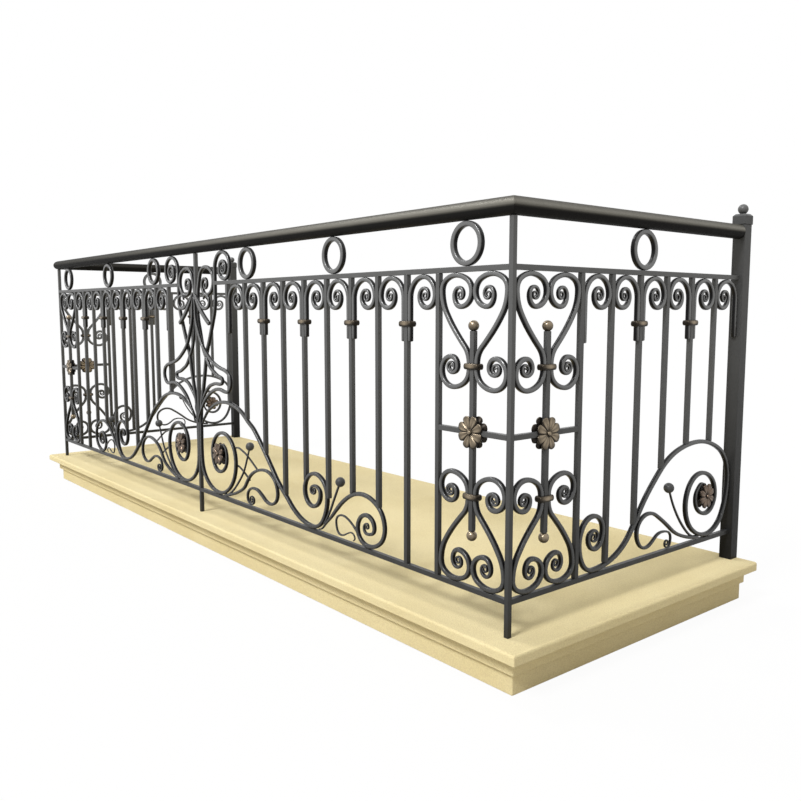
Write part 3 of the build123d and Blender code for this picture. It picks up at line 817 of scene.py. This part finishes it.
# %% Crooks inside the lyre
inner_crook_path = [
    (stem, 740, 90),
    (17, 835, 75),
    (30, 875, 70),
    (75, 906, 0),
    (lyre_flank - scroll_bar - fit, 856, 270),
    (85, 806, 180),
    (49, 842, 90),
    (70, 865, 0),
    (88, 845, 270),
    (73, 829, 180),
    (64, 840, 90),
]
forge(
    "lyre_crooks", "inner_crooks", each(front_sides, wound(inner_crook_path, radius=8.0, quarters=3)),
    scroll_bar, depth=bar, end_tip=eye_tip, taper=130.0, clear=bar / 2,
)

# %% [markdown]
# ## Whiplash bars
# Two pairs of bars cross the lyre like cracked whips, and a leaf and a curl spring from its head. The outer
# pair, the leaf and the curl lie on the face of the post, so they are moved outwards by half of both bars.
# The inner pair runs beside the post and is kept clear of it.

# %% Whiplash bars, leaf and curl
in_front = (bar + scroll_bar) / 2
outer_whiplash = [
    (4, 800, 285),
    (22, 699, 292),
    (53, 639, 302),
    (116, 583, 327),
    (217, 547, 352),
    (273, 505, 270),
    (238, 469, 180),
    (185, 475, 180),
    (128, 461, 205),
    (60, 412, 228),
    (14, 340, 260),
]
inner_whiplash = [
    (8, 800, 275),
    (20, 690, 288),
    (60, 590, 310),
    (112, 538, 335),
    (166, 517, 350),
    (188, 504, 270),
    (167, 491, 180),
    (138, 491, 182),
    (102, 484, 195),
    (50, 448, 225),
    (10, 370, 260),
]
leaf = [(8, 812, -62), (52, 757, -45), (122, 703, -32)]
head_curl = [(15, 806, -35), (95, 758, 0), (126, 782, 90), (100, 806, 180), (82, 790, 270)]
under_depth, leaf_width = 11.6, 16.0
forge(
    "outer_whiplash", "outer_whiplash_bars", each(front_sides, outer_whiplash, out=in_front), scroll_bar,
    depth=scroll_bar, start_tip=root_tip, end_tip=fine_tip, clear=fit / 2,
)
forge(
    "inner_whiplash", "inner_whiplash_bars", each(front_sides, inner_whiplash), scroll_bar,
    depth=under_depth, start_tip=root_tip, end_tip=fine_tip, clear=bar / 2,
)
forge(
    "head_curls", "head_leaves", each(front_sides, head_curl, out=in_front), scroll_bar,
    depth=under_depth, start_tip=curl_tip, end_tip=curl_tip, clear=fit / 2,
)
forge(
    "head_leaf_bars", "head_leaves", each(front_sides, leaf, out=in_front), leaf_width,
    depth=scroll_bar, start_tip=curl_tip, taper=70.0, clear=fit / 2,
)

# %% [markdown]
# ## Waves along the bottom rail
# From the lyre a long wave runs down to the rail and curls up under the third crook; a smaller one meets
# it from the corner panel. Branches, ball sprouts and thin strands grow from them. Each kind has its own
# bar size, and the thinner bar always dies into the thicker one.

# %% Waves of the front
front_wave = [
    (22.6, 335, 65),
    (52, 370, 47),
    (115, 410, 25),
    (210, 430, 0),
    (352, 387, -36),
    (412, 348, -42),
    (533, 224, -48),
    (625, 146, -40),
    (752, on_rail, 0),
    (833, 200, 90),
    (770, 262, 180),
    (712, 205, 270),
    (753, 160, 0),
    (797, 203, 90),
    (768, 225, 180),
    (745, 208, 270),
    (759, 199, 0),
]
end_wave = [
    (785, 95, 5),
    (836, 131, 40),
    (897, 190, 42),
    (1007, 240, 0),
    (1106, 160, 270),
    (1031, on_rail, 180),
    (983, 140, 90),
    (1025, 184, 0),
    (1060, 152, 270),
    (1026, 131, 180),
    (1012, 147, 90),
    (1026, 160, 0),
    (1033, 152, 270),
]
forge(
    "long_waves", "front_waves", each(front_sides, wound(front_wave, radius=9.5, quarters=4)), scroll_bar,
    start_tip=root_tip, end_tip=eye_tip, taper=150.0,
)
forge(
    "corner_waves", "end_waves", each(front_sides, wound(end_wave, radius=6.2, quarters=3)), scroll_bar,
    depth=11.7, start_tip=4.0, end_tip=fine_tip, taper=140.0,
)

# %% Branches, strands and tendrils of the front
branch = [
    (190, on_rail, 0),
    (263, 114, 17),
    (313, 135, 26),
    (374, 194, 40),
    (411, 215, 22),
    (472, 227, 0),
    (550, 161, 270),
    (502, 120, 180),
    (432, 149, 155),
    (399, 154.5, 180),
    (352, 118, 270),
    (375, on_rail - 1, 0),
    (396, 112, 90),
    (381, 124, 180),
    (369, 112, 270),
]
strands = [
    [(262, 274, 20), (279, 277, 0), (312, 269, -15), (362, 247, -30), (409, 219, -32)],
    [(272, 214, -10), (312, 200, -25), (359, 174, -32)],
]
tendril = [
    (982, 124, 135),
    (949, 149, 150),
    (905, 161, 185),
    (877, 137, 270),
    (900, 102, 0),
    (945, 118, 20),
    (968, 108, -70),
    (960, 97, 200),
]
behind = -(sprout_bar + wire) / 2 - fit
forge(
    "branches", "front_branches", each(front_sides, wound(branch, radius=9.0, quarters=4)), branch_bar,
    end_tip=fine_tip, taper=250.0,
)
forge("strands", "volute_strands", each(front_sides, *strands, out=behind), wire, depth=wire)
forge("tendrils", "front_tendrils", each(front_sides, tendril), wire, depth=wire, end_tip=3.5)

# %% Waves and branches of the returns
return_wave = [
    (312, 171, 0),
    (327, 184, 90),
    (312, 199, 180),
    (289, 181, 270),
    (316, 151, 0),
    (2 * pitch + flank, 196, 90),
    (306, 237, 180),
    (2 * pitch + stem + fit, 172, 270),
    (310, on_rail, 0),
    (413, 122, 28),
    (508, 222, 54),
    (597, 317, 42),
    (776, 378, 0),
    (return_run - scroll_bar / 2 - fit, 250, 270),
    (845, on_rail, 180),
    (729, 200, 90),
    (805, 284, 0),
    (884, 214, 270),
    (836, 161, 180),
    (779, 212, 90),
    (803, 250, 35),
    (829, 245, -40),
]
return_branch = [
    (800, 98, 180),
    (700, 120, 158),
    (617, 174, 146),
    (548, 205, 180),
    (496, 160, 270),
    (538, 112.5, 0),
    (583, 133, 38),
    (615, 143, 0),
    (659, 118, 270),
    (645, 94, 180),
    (631, 105, 90),
    (640, 115, 0),
]
wound_wave = turned_round(wound(turned_round(return_wave), radius=10.5, quarters=4))
wound_branch = wound(return_branch, radius=7.5, quarters=3)
forge(
    "return_waves_forged", "return_waves", each(return_sides, wound_wave), scroll_bar,
    start_tip=eye_tip, end_tip=root_tip, taper=160.0,
)
forge(
    "return_branches_forged", "return_branches", each(return_sides, wound_branch), branch_bar,
    end_tip=fine_tip, taper=300.0,
)

# %% Stems of the ball sprouts
front_stems = [[(215, 103, 25), (312, 181, 48), (368, 282, 65)], [(815, 118, 50), (892, 246, 60)]]
return_stem = [(800, 98, 180), (703, 160, 130), (648, 250, 112)]
stem_runs = each(front_sides, *front_stems) + each(return_sides, return_stem)
forge(
    "ball_stems", "sprout_stems", stem_runs, sprout_bar,
    depth=sprout_bar, start_tip=8.5, taper=120.0, softness=round_section,
)

# %% [markdown]
# ## Rings under the handrail
# Three rings on each half of the front and one on each return fill the gap between the upper rail and the
# handrail. A ring is the same square bar bent round and welded shut, so the forging tree makes it from a
# closed line: such a line has no ends, and its points say that both ends are far away.

# %% Rings from closed lines
ring_radius = (handrail_bottom - upper_rail_top - 2 * fit - bar) / 2
ring_middle = (handrail_bottom + upper_rail_top) / 2
ring_points = 60
ring_lines = []
for sides, places in ((front_sides, (378.0, 876.0, 1416.0)), (return_sides, (492.0,))):
    for side in sides:
        for along in places:
            centre = Vector((along, ring_middle))
            circle = [centre + heading(step * 360 / ring_points) * ring_radius for step in range(ring_points)]
            ring_lines.append((side, (circle, [0.0] * ring_points), 0, True))
rings = run_tree("rings", lines_mesh("rings", ring_lines), forge_tree, {
    "Width": bar * MM,
    "Depth": (bar + added_depth) * MM,
    "Start Tip": bar * MM,
    "End Tip": bar * MM,
    "Taper": 0.1,
    "Softness": ring_section,
    "Clear of Middle": anywhere * MM,
    "Sides": 16,
    "Finish": scroll_iron,
})
belongs(rings, "iron", "top_rings")

# %% [markdown]
# ## Fittings set on points
# Collars, balls and rosettes repeat, so each kind is made once and set on points. A point says which way
# the fitting faces and which way is up for it; the tree turns an axis pair into a rotation and realizes
# the copies, because the closing export keeps no instances.

# %% The setting tree
setting_tree, b = new_tree("Fittings on points", (
    ("Fitting", "NodeSocketObject"),
    ("Finish", "NodeSocketMaterial"),
))
given = b.node("NodeGroupInput")
fitting = b.node("GeometryNodeObjectInfo", inputs={"Object": given.out("Fitting")}).out("Geometry")
facing, upright, scale = (attribute(b, label, "FLOAT_VECTOR") for label in ("facing", "upright", "scale"))
turn = b.node(
    "FunctionNodeAxesToRotation",
    {"primary_axis": "Z", "secondary_axis": "Y"},
    {"Primary Axis": facing, "Secondary Axis": upright},
)
cloud = b.node("GeometryNodeMeshToPoints", inputs={"Mesh": given.out("Geometry")})
copies = b.node(
    "GeometryNodeInstanceOnPoints",
    inputs={"Points": cloud, "Instance": fitting, "Rotation": turn, "Scale": scale},
)
finish_tree(b, copies, given.out("Finish"))
print("setting tree:", len(setting_tree.nodes), "nodes")


# %% Setting a fitting on its seats
def set_fittings(name, node, fitting_mesh, seats, finish, slot="bronze"):
    """Copies of a fitting on seats of (place, facing, upright, scale), in place of a node."""
    master = bpy.data.objects.new(fitting_mesh.name, fitting_mesh)
    mesh = bpy.data.meshes.new(name)
    mesh.from_pydata([seat[0] for seat in seats], [], [])
    for label, column in (("facing", 1), ("upright", 2)):
        layer = mesh.attributes.new(label, "FLOAT_VECTOR", "POINT")
        layer.data.foreach_set("vector", [value for seat in seats for value in seat[column]])
    layer = mesh.attributes.new("scale", "FLOAT_VECTOR", "POINT")
    layer.data.foreach_set("vector", [value for seat in seats for value in (seat[3],) * 3])
    return belongs(run_tree(name, mesh, setting_tree, {"Fitting": master, "Finish": finish}), slot, node)


def plain_mesh(name, shell):
    """The shell as a smooth mesh that faces outwards."""
    bmesh.ops.recalc_face_normals(shell, faces=shell.faces)
    for face in shell.faces:
        face.smooth = True
    made = bpy.data.meshes.new(name)
    shell.to_mesh(made)
    shell.free()
    print(name, "has", len(made.polygons), "faces")
    return made


# %% [markdown]
# ## Collars
# A collar is a half-round strip, bent hot round three bars and closed. In section it is a fat lens: flat
# on the bars, round outside. It is drawn once as a rounded rectangle swept with that section, by rings of
# points rather than by a primitive, so that its crown can be told to the bronze finish.

# %% Collar mesh
def strip_collar(name, across, deep, lip, height, corner=3.0, sections=9):
    """Half-round strip round a bundle of bars, in millimetres, with its axis up the local Y."""
    outline, ease = [], corner * 0.2
    for quarter, (sx, sy) in enumerate(((1, 1), (-1, 1), (-1, -1), (1, -1))):
        for step in range(5):
            corner_at = Vector((sx * (across / 2 - ease), sy * (deep / 2 - ease)))
            outline.append((corner_at, heading(90 * quarter + 22.5 * step)))
        if sx * sy > 0:
            for share in (0.6, 0.3, 0.0, -0.3, -0.6):
                on_face = Vector((sx * share * across / 2, sy * (deep / 2 - ease)))
                outline.append((on_face, heading(90 * quarter + 90)))
    mesh = bmesh.new()
    crown = mesh.verts.layers.float.new("crown")
    rows = []
    for corner_at, way in outline:
        row = []
        for step in range(sections):
            turn_angle = pi * step / (sections - 1)
            swell = sin(turn_angle)
            reach = corner * 0.2 - 0.6 + (lip + 0.6) * swell ** 0.55
            point = corner_at + way * reach
            vert = mesh.verts.new(Vector((point.x, -height / 2 * cos(turn_angle), point.y)) * MM)
            vert[crown] = swell ** 2 * (1.0 - 0.7 * abs(point.x) / (across / 2 + lip))
            row.append(vert)
        rows.append(row)
    for index, row in enumerate(rows):
        following = rows[(index + 1) % len(rows)]
        for step in range(sections - 1):
            mesh.faces.new((row[step], following[step], following[step + 1], row[step + 1]))
        mesh.faces.new((row[-1], following[-1], following[0], row[0]))
    return plain_mesh(name, mesh)


# %% Collars on crooks and hearts
collar = strip_collar("collar_master", bar + 2 * scroll_bar, bar, collar_lip, collar_height)
collar_z = upper_rail_bottom - collar_drop


def collar_seats(points):
    return [(side.place(along * MM, up * MM), side.out, UP, 1.0) for side, along, up in points]


crook_collars = [(side, number * pitch, collar_z) for side in front_sides for number in front_pairs]
crook_collars += [(side, number * pitch, collar_z) for side in return_sides for number in return_pairs]
panel_collars = [(side, axis, panel_middle + hand * collar_rise) for side, axis in panels for hand in (1, -1)]
set_fittings("collars_on_crooks", "crook_collars", collar, collar_seats(crook_collars), bronze)
set_fittings("collars_on_hearts", "panel_collars", collar, collar_seats(panel_collars), bronze)

# %% [markdown]
# ## Balls
# The balls are turned, not cast: each has a short neck where it was parted from the bar. A lathe in
# Blender is a profile turned round an axis. The profile stands on the seat and rises to the pole.

# %% Turned balls
def turned_ball(name, diameter, neck, sides=24, rows=12):
    """Ball on a short neck, standing on its seat along the local Z, in millimetres."""
    radius = diameter / 2
    profile = [(0.0, -0.3), (neck, -0.3), (neck, 0.6)]
    low = radius * cos(radians(22.5))
    for step in range(rows):
        angle = radians(-67.5 + 157.5 * step / rows)
        profile.append((radius * cos(angle), low + radius * sin(angle)))
    profile.append((0.0, low + radius))
    mesh = bmesh.new()
    crown = mesh.verts.layers.float.new("crown")
    rings = []
    for reach, height in profile:
        count = 1 if reach == 0 else sides
        row = []
        for step in range(count):
            angle = 2 * pi * step / sides
            vert = mesh.verts.new(Vector((reach * cos(angle), reach * sin(angle), height)) * MM)
            vert[crown] = 0.72 if height > 0.6 else 0.1
            row.append(vert)
        rings.append(row)
    for lower, upper in zip(rings[:-1], rings[1:]):
        for step in range(sides):
            following = (step + 1) % sides
            corners = [row[turn % len(row)] for row, turn in (
                (lower, step), (lower, following), (upper, following), (upper, step)
            )]
            mesh.faces.new(list(dict.fromkeys(corners)))
    return plain_mesh(name, mesh)


# %% Balls on newels, spindles and sprouts
spindle_reach = 238.0
newel_low, newel_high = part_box("newel_balls")
cap_low, cap_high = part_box("newel_caps")
newel_x = newel_high.x - (newel_high.y - newel_low.y) / 2
newel_y = (cap_low.y + cap_high.y) / 2
sideways_seat = UP.cross(Vector((0.3, 0.5, 0.1))).normalized()
newel_seats = [(Vector((hand * newel_x, newel_y, cap_high.z)), UP, sideways_seat, 1.0) for hand in (1, -1)]
newel_ball = turned_ball("newel_master", diameter=29.7, neck=7.5)
set_fittings("balls_on_newels", "newel_balls", newel_ball, newel_seats, iron, slot="iron")

spindle_seats = []
for side, axis in panels:
    for hand in (1, -1):
        place = side.place(axis * MM, (panel_middle + hand * spindle_reach) * MM)
        spindle_seats.append((place, UP * hand, side.out, 1.0))
spindle_ball = turned_ball("spindle_master", diameter=26.0, neck=6.0)
set_fittings("balls_on_spindles", "panel_spindle_balls", spindle_ball, spindle_seats, bronze)

sprout_seats = []
for sides, paths in ((front_sides, front_stems), (return_sides, [return_stem])):
    for side in sides:
        for path in paths:
            x, z, angle = path[-1]
            way = side.along * cos(radians(angle)) + UP * sin(radians(angle))
            sprout_seats.append((side.place(x * MM, z * MM), way, side.out, 1.0))
sprout_ball = turned_ball("sprout_master", diameter=29.0, neck=4.5)
set_fittings("balls_on_stems", "sprout_balls", sprout_ball, sprout_seats, iron, slot="iron")

# %% [markdown]
# ## Rosettes
# A rosette is beaten from sheet over a punch: eight petals, each a shallow spoon with a crease down its
# middle, deep valleys between them, and a round button that holds it. A polar grid of points with a
# height for each is the shortest way to such a relief. The height also says how rubbed the bronze is.

# %% Rosette relief
def rosette(name, radius, rise, notch, button, button_rise, petals=8, around=12, rows=12):
    """Rosette that lies on its seat and faces the local Z, in millimetres."""
    mesh = bmesh.new()
    crown = mesh.verts.layers.float.new("crown")
    columns = petals * around

    def petal_edge(spread):
        return radius * (1 - notch * abs(spread) ** 2.6)

    def relief(share, spread):
        swell = sqrt(max(0.0, 1 - abs(spread) ** 4))
        along = sin(pi * min(1.0, 0.12 + 0.74 * share)) ** 0.8
        cup = 0.22 * (1 - min(1.0, abs(spread) * 1.8) ** 2) * sin(pi * min(1.0, share))
        return rise * (0.16 + 0.84 * swell * along - cup)

    rings = []
    for row in range(rows + 1):
        share = (row / rows) ** 0.9
        ring_verts = []
        for column in range(columns):
            spread = 2 * ((column / around) % 1) - 1
            reach = button * 0.8 + (petal_edge(spread) - button * 0.8) * share
            height = relief(share, spread)
            way = heading(360 * column / columns)
            vert = mesh.verts.new(Vector((way.x * reach, way.y * reach, height)) * MM)
            vert[crown] = max(0.0, min(1.0, (height / rise - 0.3) * 1.5))
            ring_verts.append(vert)
        rings.append(ring_verts)
    skirt = []
    for vert in rings[-1]:
        low = mesh.verts.new(Vector((vert.co.x * 0.985, vert.co.y * 0.985, 0.0)))
        skirt.append(low)
    rings.append(skirt)
    for lower, upper in zip(rings[:-1], rings[1:]):
        for column in range(columns):
            following = (column + 1) % columns
            mesh.faces.new((lower[column], lower[following], upper[following], upper[column]))
    middle = mesh.verts.new((0, 0, 0))
    for column in range(columns):
        mesh.faces.new((skirt[column], skirt[(column + 1) % columns], middle))
    dome, count = [rings[0]], 5
    for step in range(count):
        share = step / count
        lift = rise * 0.55 + button_rise * sin(pi / 2 * min(1.0, share * 1.25))
        row = []
        for vert in rings[0]:
            flat = Vector((vert.co.x, vert.co.y, 0)) * 1.05 * cos(pi / 2 * share) ** 0.8
            point = mesh.verts.new(Vector((flat.x, flat.y, lift * MM)))
            point[crown] = 0.45 + 0.5 * share
            row.append(point)
        dome.append(row)
    top = mesh.verts.new(Vector((0, 0, (rise * 0.55 + button_rise) * MM)))
    top[crown] = 1.0
    for lower, upper in zip(dome[:-1], dome[1:]):
        for column in range(columns):
            following = (column + 1) % columns
            mesh.faces.new((lower[column], lower[following], upper[following], upper[column]))
    for column in range(columns):
        mesh.faces.new((dome[-1][column], dome[-1][(column + 1) % columns], top))
    return plain_mesh(name, mesh)


# %% Rosettes on panels and volutes
panel_rosette_seats = []
for side, axis in panels:
    for hand in (1, -1):
        place = side.place(axis * MM, panel_middle * MM, hand * bar / 2 * MM)
        panel_rosette_seats.append((place, side.out * hand, UP, 1.0))
panel_rosette = rosette("panel_rosette_master", radius=40.0, rise=7.0, notch=0.2, button=7.0, button_rise=5.0)
set_fittings("rosettes_on_panels", "panel_rosettes", panel_rosette, panel_rosette_seats, bronze)

volute_rosette_seats = []
for sides, along, up, size in ((front_sides, 155, 240, 40 / 37), (return_sides, 829, 214, 1.0)):
    for side in sides:
        for hand in (1, -1):
            place = side.place(along * MM, up * MM, hand * scroll_bar / 2 * MM)
            volute_rosette_seats.append((place, side.out * hand, UP, size))
volute_rosette = rosette(
    "volute_rosette_master", radius=37.0, rise=7.0, notch=0.3, button=6.5, button_rise=5.0
)
set_fittings("rosettes_on_volutes", "volute_rosettes", volute_rosette, volute_rosette_seats, dark_bronze)

# %% [markdown]
# ## Straight bars, rails and posts
# The straight bars are already right in the measured model: they only lack the soft edge that rolled bar
# has. A copy of each is merged, its flat faces are joined up again, and its edges are bevelled. The copy
# stands for the node; the node itself isn't touched.

# %% Copies of nodes with eased edges
def copy_of(node):
    """The node's mesh, merged and with its flat faces whole again."""
    shell = bmesh.new()
    shell.from_mesh(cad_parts[node].data)
    bmesh.ops.remove_doubles(shell, verts=shell.verts, dist=1e-5)
    bmesh.ops.dissolve_limit(shell, angle_limit=radians(1.0), verts=shell.verts, edges=shell.edges)
    return shell


def soften(name, nodes, width, segments=2, slot="iron", finish=None, sharp=30.0):
    """Copies of nodes as one piece, with bevelled edges and even shading on the flats."""
    whole = bpy.data.meshes.new(name)
    joined = bmesh.new()
    for node in nodes:
        shell = copy_of(node)
        one = bpy.data.meshes.new(node + "_copy")
        shell.to_mesh(one)
        shell.free()
        joined.from_mesh(one)
        bpy.data.meshes.remove(one)
    joined.to_mesh(whole)
    joined.free()
    for polygon in whole.polygons:
        polygon.use_smooth = True
    whole.materials.append(finish or iron)
    raw = bpy.data.objects.new(name + "_raw", whole)
    bpy.context.scene.collection.objects.link(raw)
    bevel = raw.modifiers.new("Bevel", "BEVEL")
    bevel.width = width * MM
    bevel.segments = segments
    bevel.limit_method = "ANGLE"
    bevel.angle_limit = radians(sharp)
    raw.modifiers.new("Even", "WEIGHTED_NORMAL")
    graph = bpy.context.evaluated_depsgraph_get()
    made = bpy.data.meshes.new_from_object(raw.evaluated_get(graph), depsgraph=graph)
    raw.modifiers.clear()
    bpy.data.objects.remove(raw)
    piece = piece_from(name, made, turn_out=False)
    return belongs(piece, slot, *nodes)


# %% Bars, rails and posts
rolled_edge, tube_edge = 1.0, 1.5
rails = [name + end for name in ("upper_rail", "bottom_rail") for end in ("_front", "_returns")]
soften("pickets_front", ["front_pickets"], rolled_edge)
soften("pickets_return", ["return_pickets"], rolled_edge)
soften("panel_frames", ["panel_side_bars", "panel_spindles", "panel_crossbars"], rolled_edge)
soften("flat_rails", rails, rolled_edge)
soften("posts", ["rail_posts"], rolled_edge)
soften("newels", ["newel_posts"], tube_edge, finish=newel_iron)
soften("newel_heads", ["newel_caps"], tube_edge, segments=3, finish=newel_iron)
soften("handrail", ["handrail_front", "handrail_returns"], 0.8, finish=rail_iron, sharp=25.0)

# %% [markdown]
# ## The stone floor
# Three courses: a slab with a rounded nosing, a step below it, and the base. The slab's nosing is modelled
# already; here the other arrises are eased as a mason does with a rubbing stone.

# %% Stone courses
soften("stone_slab", ["floor_slab"], 2.0, segments=3, slot="stone", finish=stone, sharp=40.0)
soften("stone_step", ["step_course"], 3.0, segments=3, slot="stone", finish=stone)
soften("stone_base", ["base_course"], 3.0, segments=3, slot="stone", finish=stone)

# %% [markdown]
# ## Floor, light and camera
# The object stands on a plain pale floor before white. The white comes from what the camera sees and not
# from more light: the world is white for camera, glossy and transmission rays, and softer for the light
# that falls on the railing. A broad far lamp before the front gives the shadows, a weaker one from the left
# lights the edges that face it. Far lamps light both ends of a long object alike, which near ones don't.

# %% What the camera is shown
def shown_to(bench):
    """1 for camera, glossy and transmission rays, 0 for the light that falls on things."""
    rays = bench.node("ShaderNodeLightPath")
    seen = bench.maths("MAXIMUM", rays.out("Is Camera Ray"), rays.out("Is Glossy Ray"))
    return bench.maths("MAXIMUM", seen, rays.out("Is Transmission Ray"))


# %% Pale floor
floor_mesh = bpy.data.meshes.new("studio_floor")
floor_mesh.from_pydata([(-30, -30, 0), (30, -30, 0), (30, 30, 0), (-30, 30, 0)], [], [(0, 1, 2, 3)])
studio_floor = bpy.data.objects.new("studio_floor", floor_mesh)
bpy.context.scene.collection.objects.link(studio_floor)
pale, b = new_material("pale_floor")
shown = shown_to(b)
glow = b.node("ShaderNodeEmission", inputs={"Color": (1, 1, 1, 1), "Strength": 1.0})
bounce, seen_floor = (0.5, 0.48, 0.44, 1), (0.9, 0.9, 0.9, 1)
lit = b.node("ShaderNodeBsdfDiffuse", inputs={"Color": b.blend(shown, bounce, seen_floor)})
mixed = b.node("ShaderNodeMixShader", inputs={0: shown * 0.95, 1: lit, 2: glow})
b.node("ShaderNodeOutputMaterial", inputs={"Surface": mixed})
floor_mesh.materials.append(pale)
print("floor is", round(studio_floor.dimensions.x), "m wide")

# %% White world
world = bpy.data.worlds.new("studio")
bpy.context.scene.world = world
world.use_nodes = True
world.node_tree.nodes.clear()
b = Bench(world.node_tree)
soft_fill, white = (0.54, 0.52, 0.485, 1), (1, 1, 1, 1)
tint = b.blend(shown_to(b), soft_fill, white)
sky = b.node("ShaderNodeBackground", inputs={"Color": tint, "Strength": 1.0})
b.node("ShaderNodeOutputWorld", inputs={"Surface": sky})
print("world nodes:", len(world.node_tree.nodes))


# %% Two far lamps
def even_light(name, comes_from, strength, spread):
    """A far lamp, so that both ends of the railing are lit alike; spread softens its shadows."""
    lamp = bpy.data.lights.new(name, "SUN")
    lamp.energy = strength
    lamp.angle = radians(spread)
    holder = bpy.data.objects.new(name, lamp)
    holder.location = comes_from
    holder.rotation_euler = (-Vector(comes_from)).to_track_quat("-Z", "Y").to_euler()
    bpy.context.scene.collection.objects.link(holder)
    print(name, "lamp", strength, "from", comes_from)


even_light("key", comes_from=(0.8, -7.0, 7.0), strength=2.15, spread=16)
even_light("side", comes_from=(-6.6, -1.6, 7.2), strength=0.6, spread=12)

# %% [markdown]
# ## Where the camera stands
# The camera's place, turn and lens come from a pinhole camera that was fitted to the straight edges of the
# rails and of the slab, so the lesson's picture looks at the near corner from a little below the handrail.

# %% Camera
lens = bpy.data.cameras.new("camera")
lens.lens = 36.93
lens.sensor_width = 36.0
camera = bpy.data.objects.new("camera", lens)
camera.location = (2.8111, -1.8190, 0.8765)
camera.rotation_euler = (pi / 2 - 0.109, 0.0, 0.881)
bpy.context.scene.collection.objects.link(camera)
bpy.context.scene.camera = camera
bpy.context.scene.view_settings.view_transform = "Standard"
print("camera at", *rounded(camera.location), "with a lens of", round(lens.lens, 1), "mm")
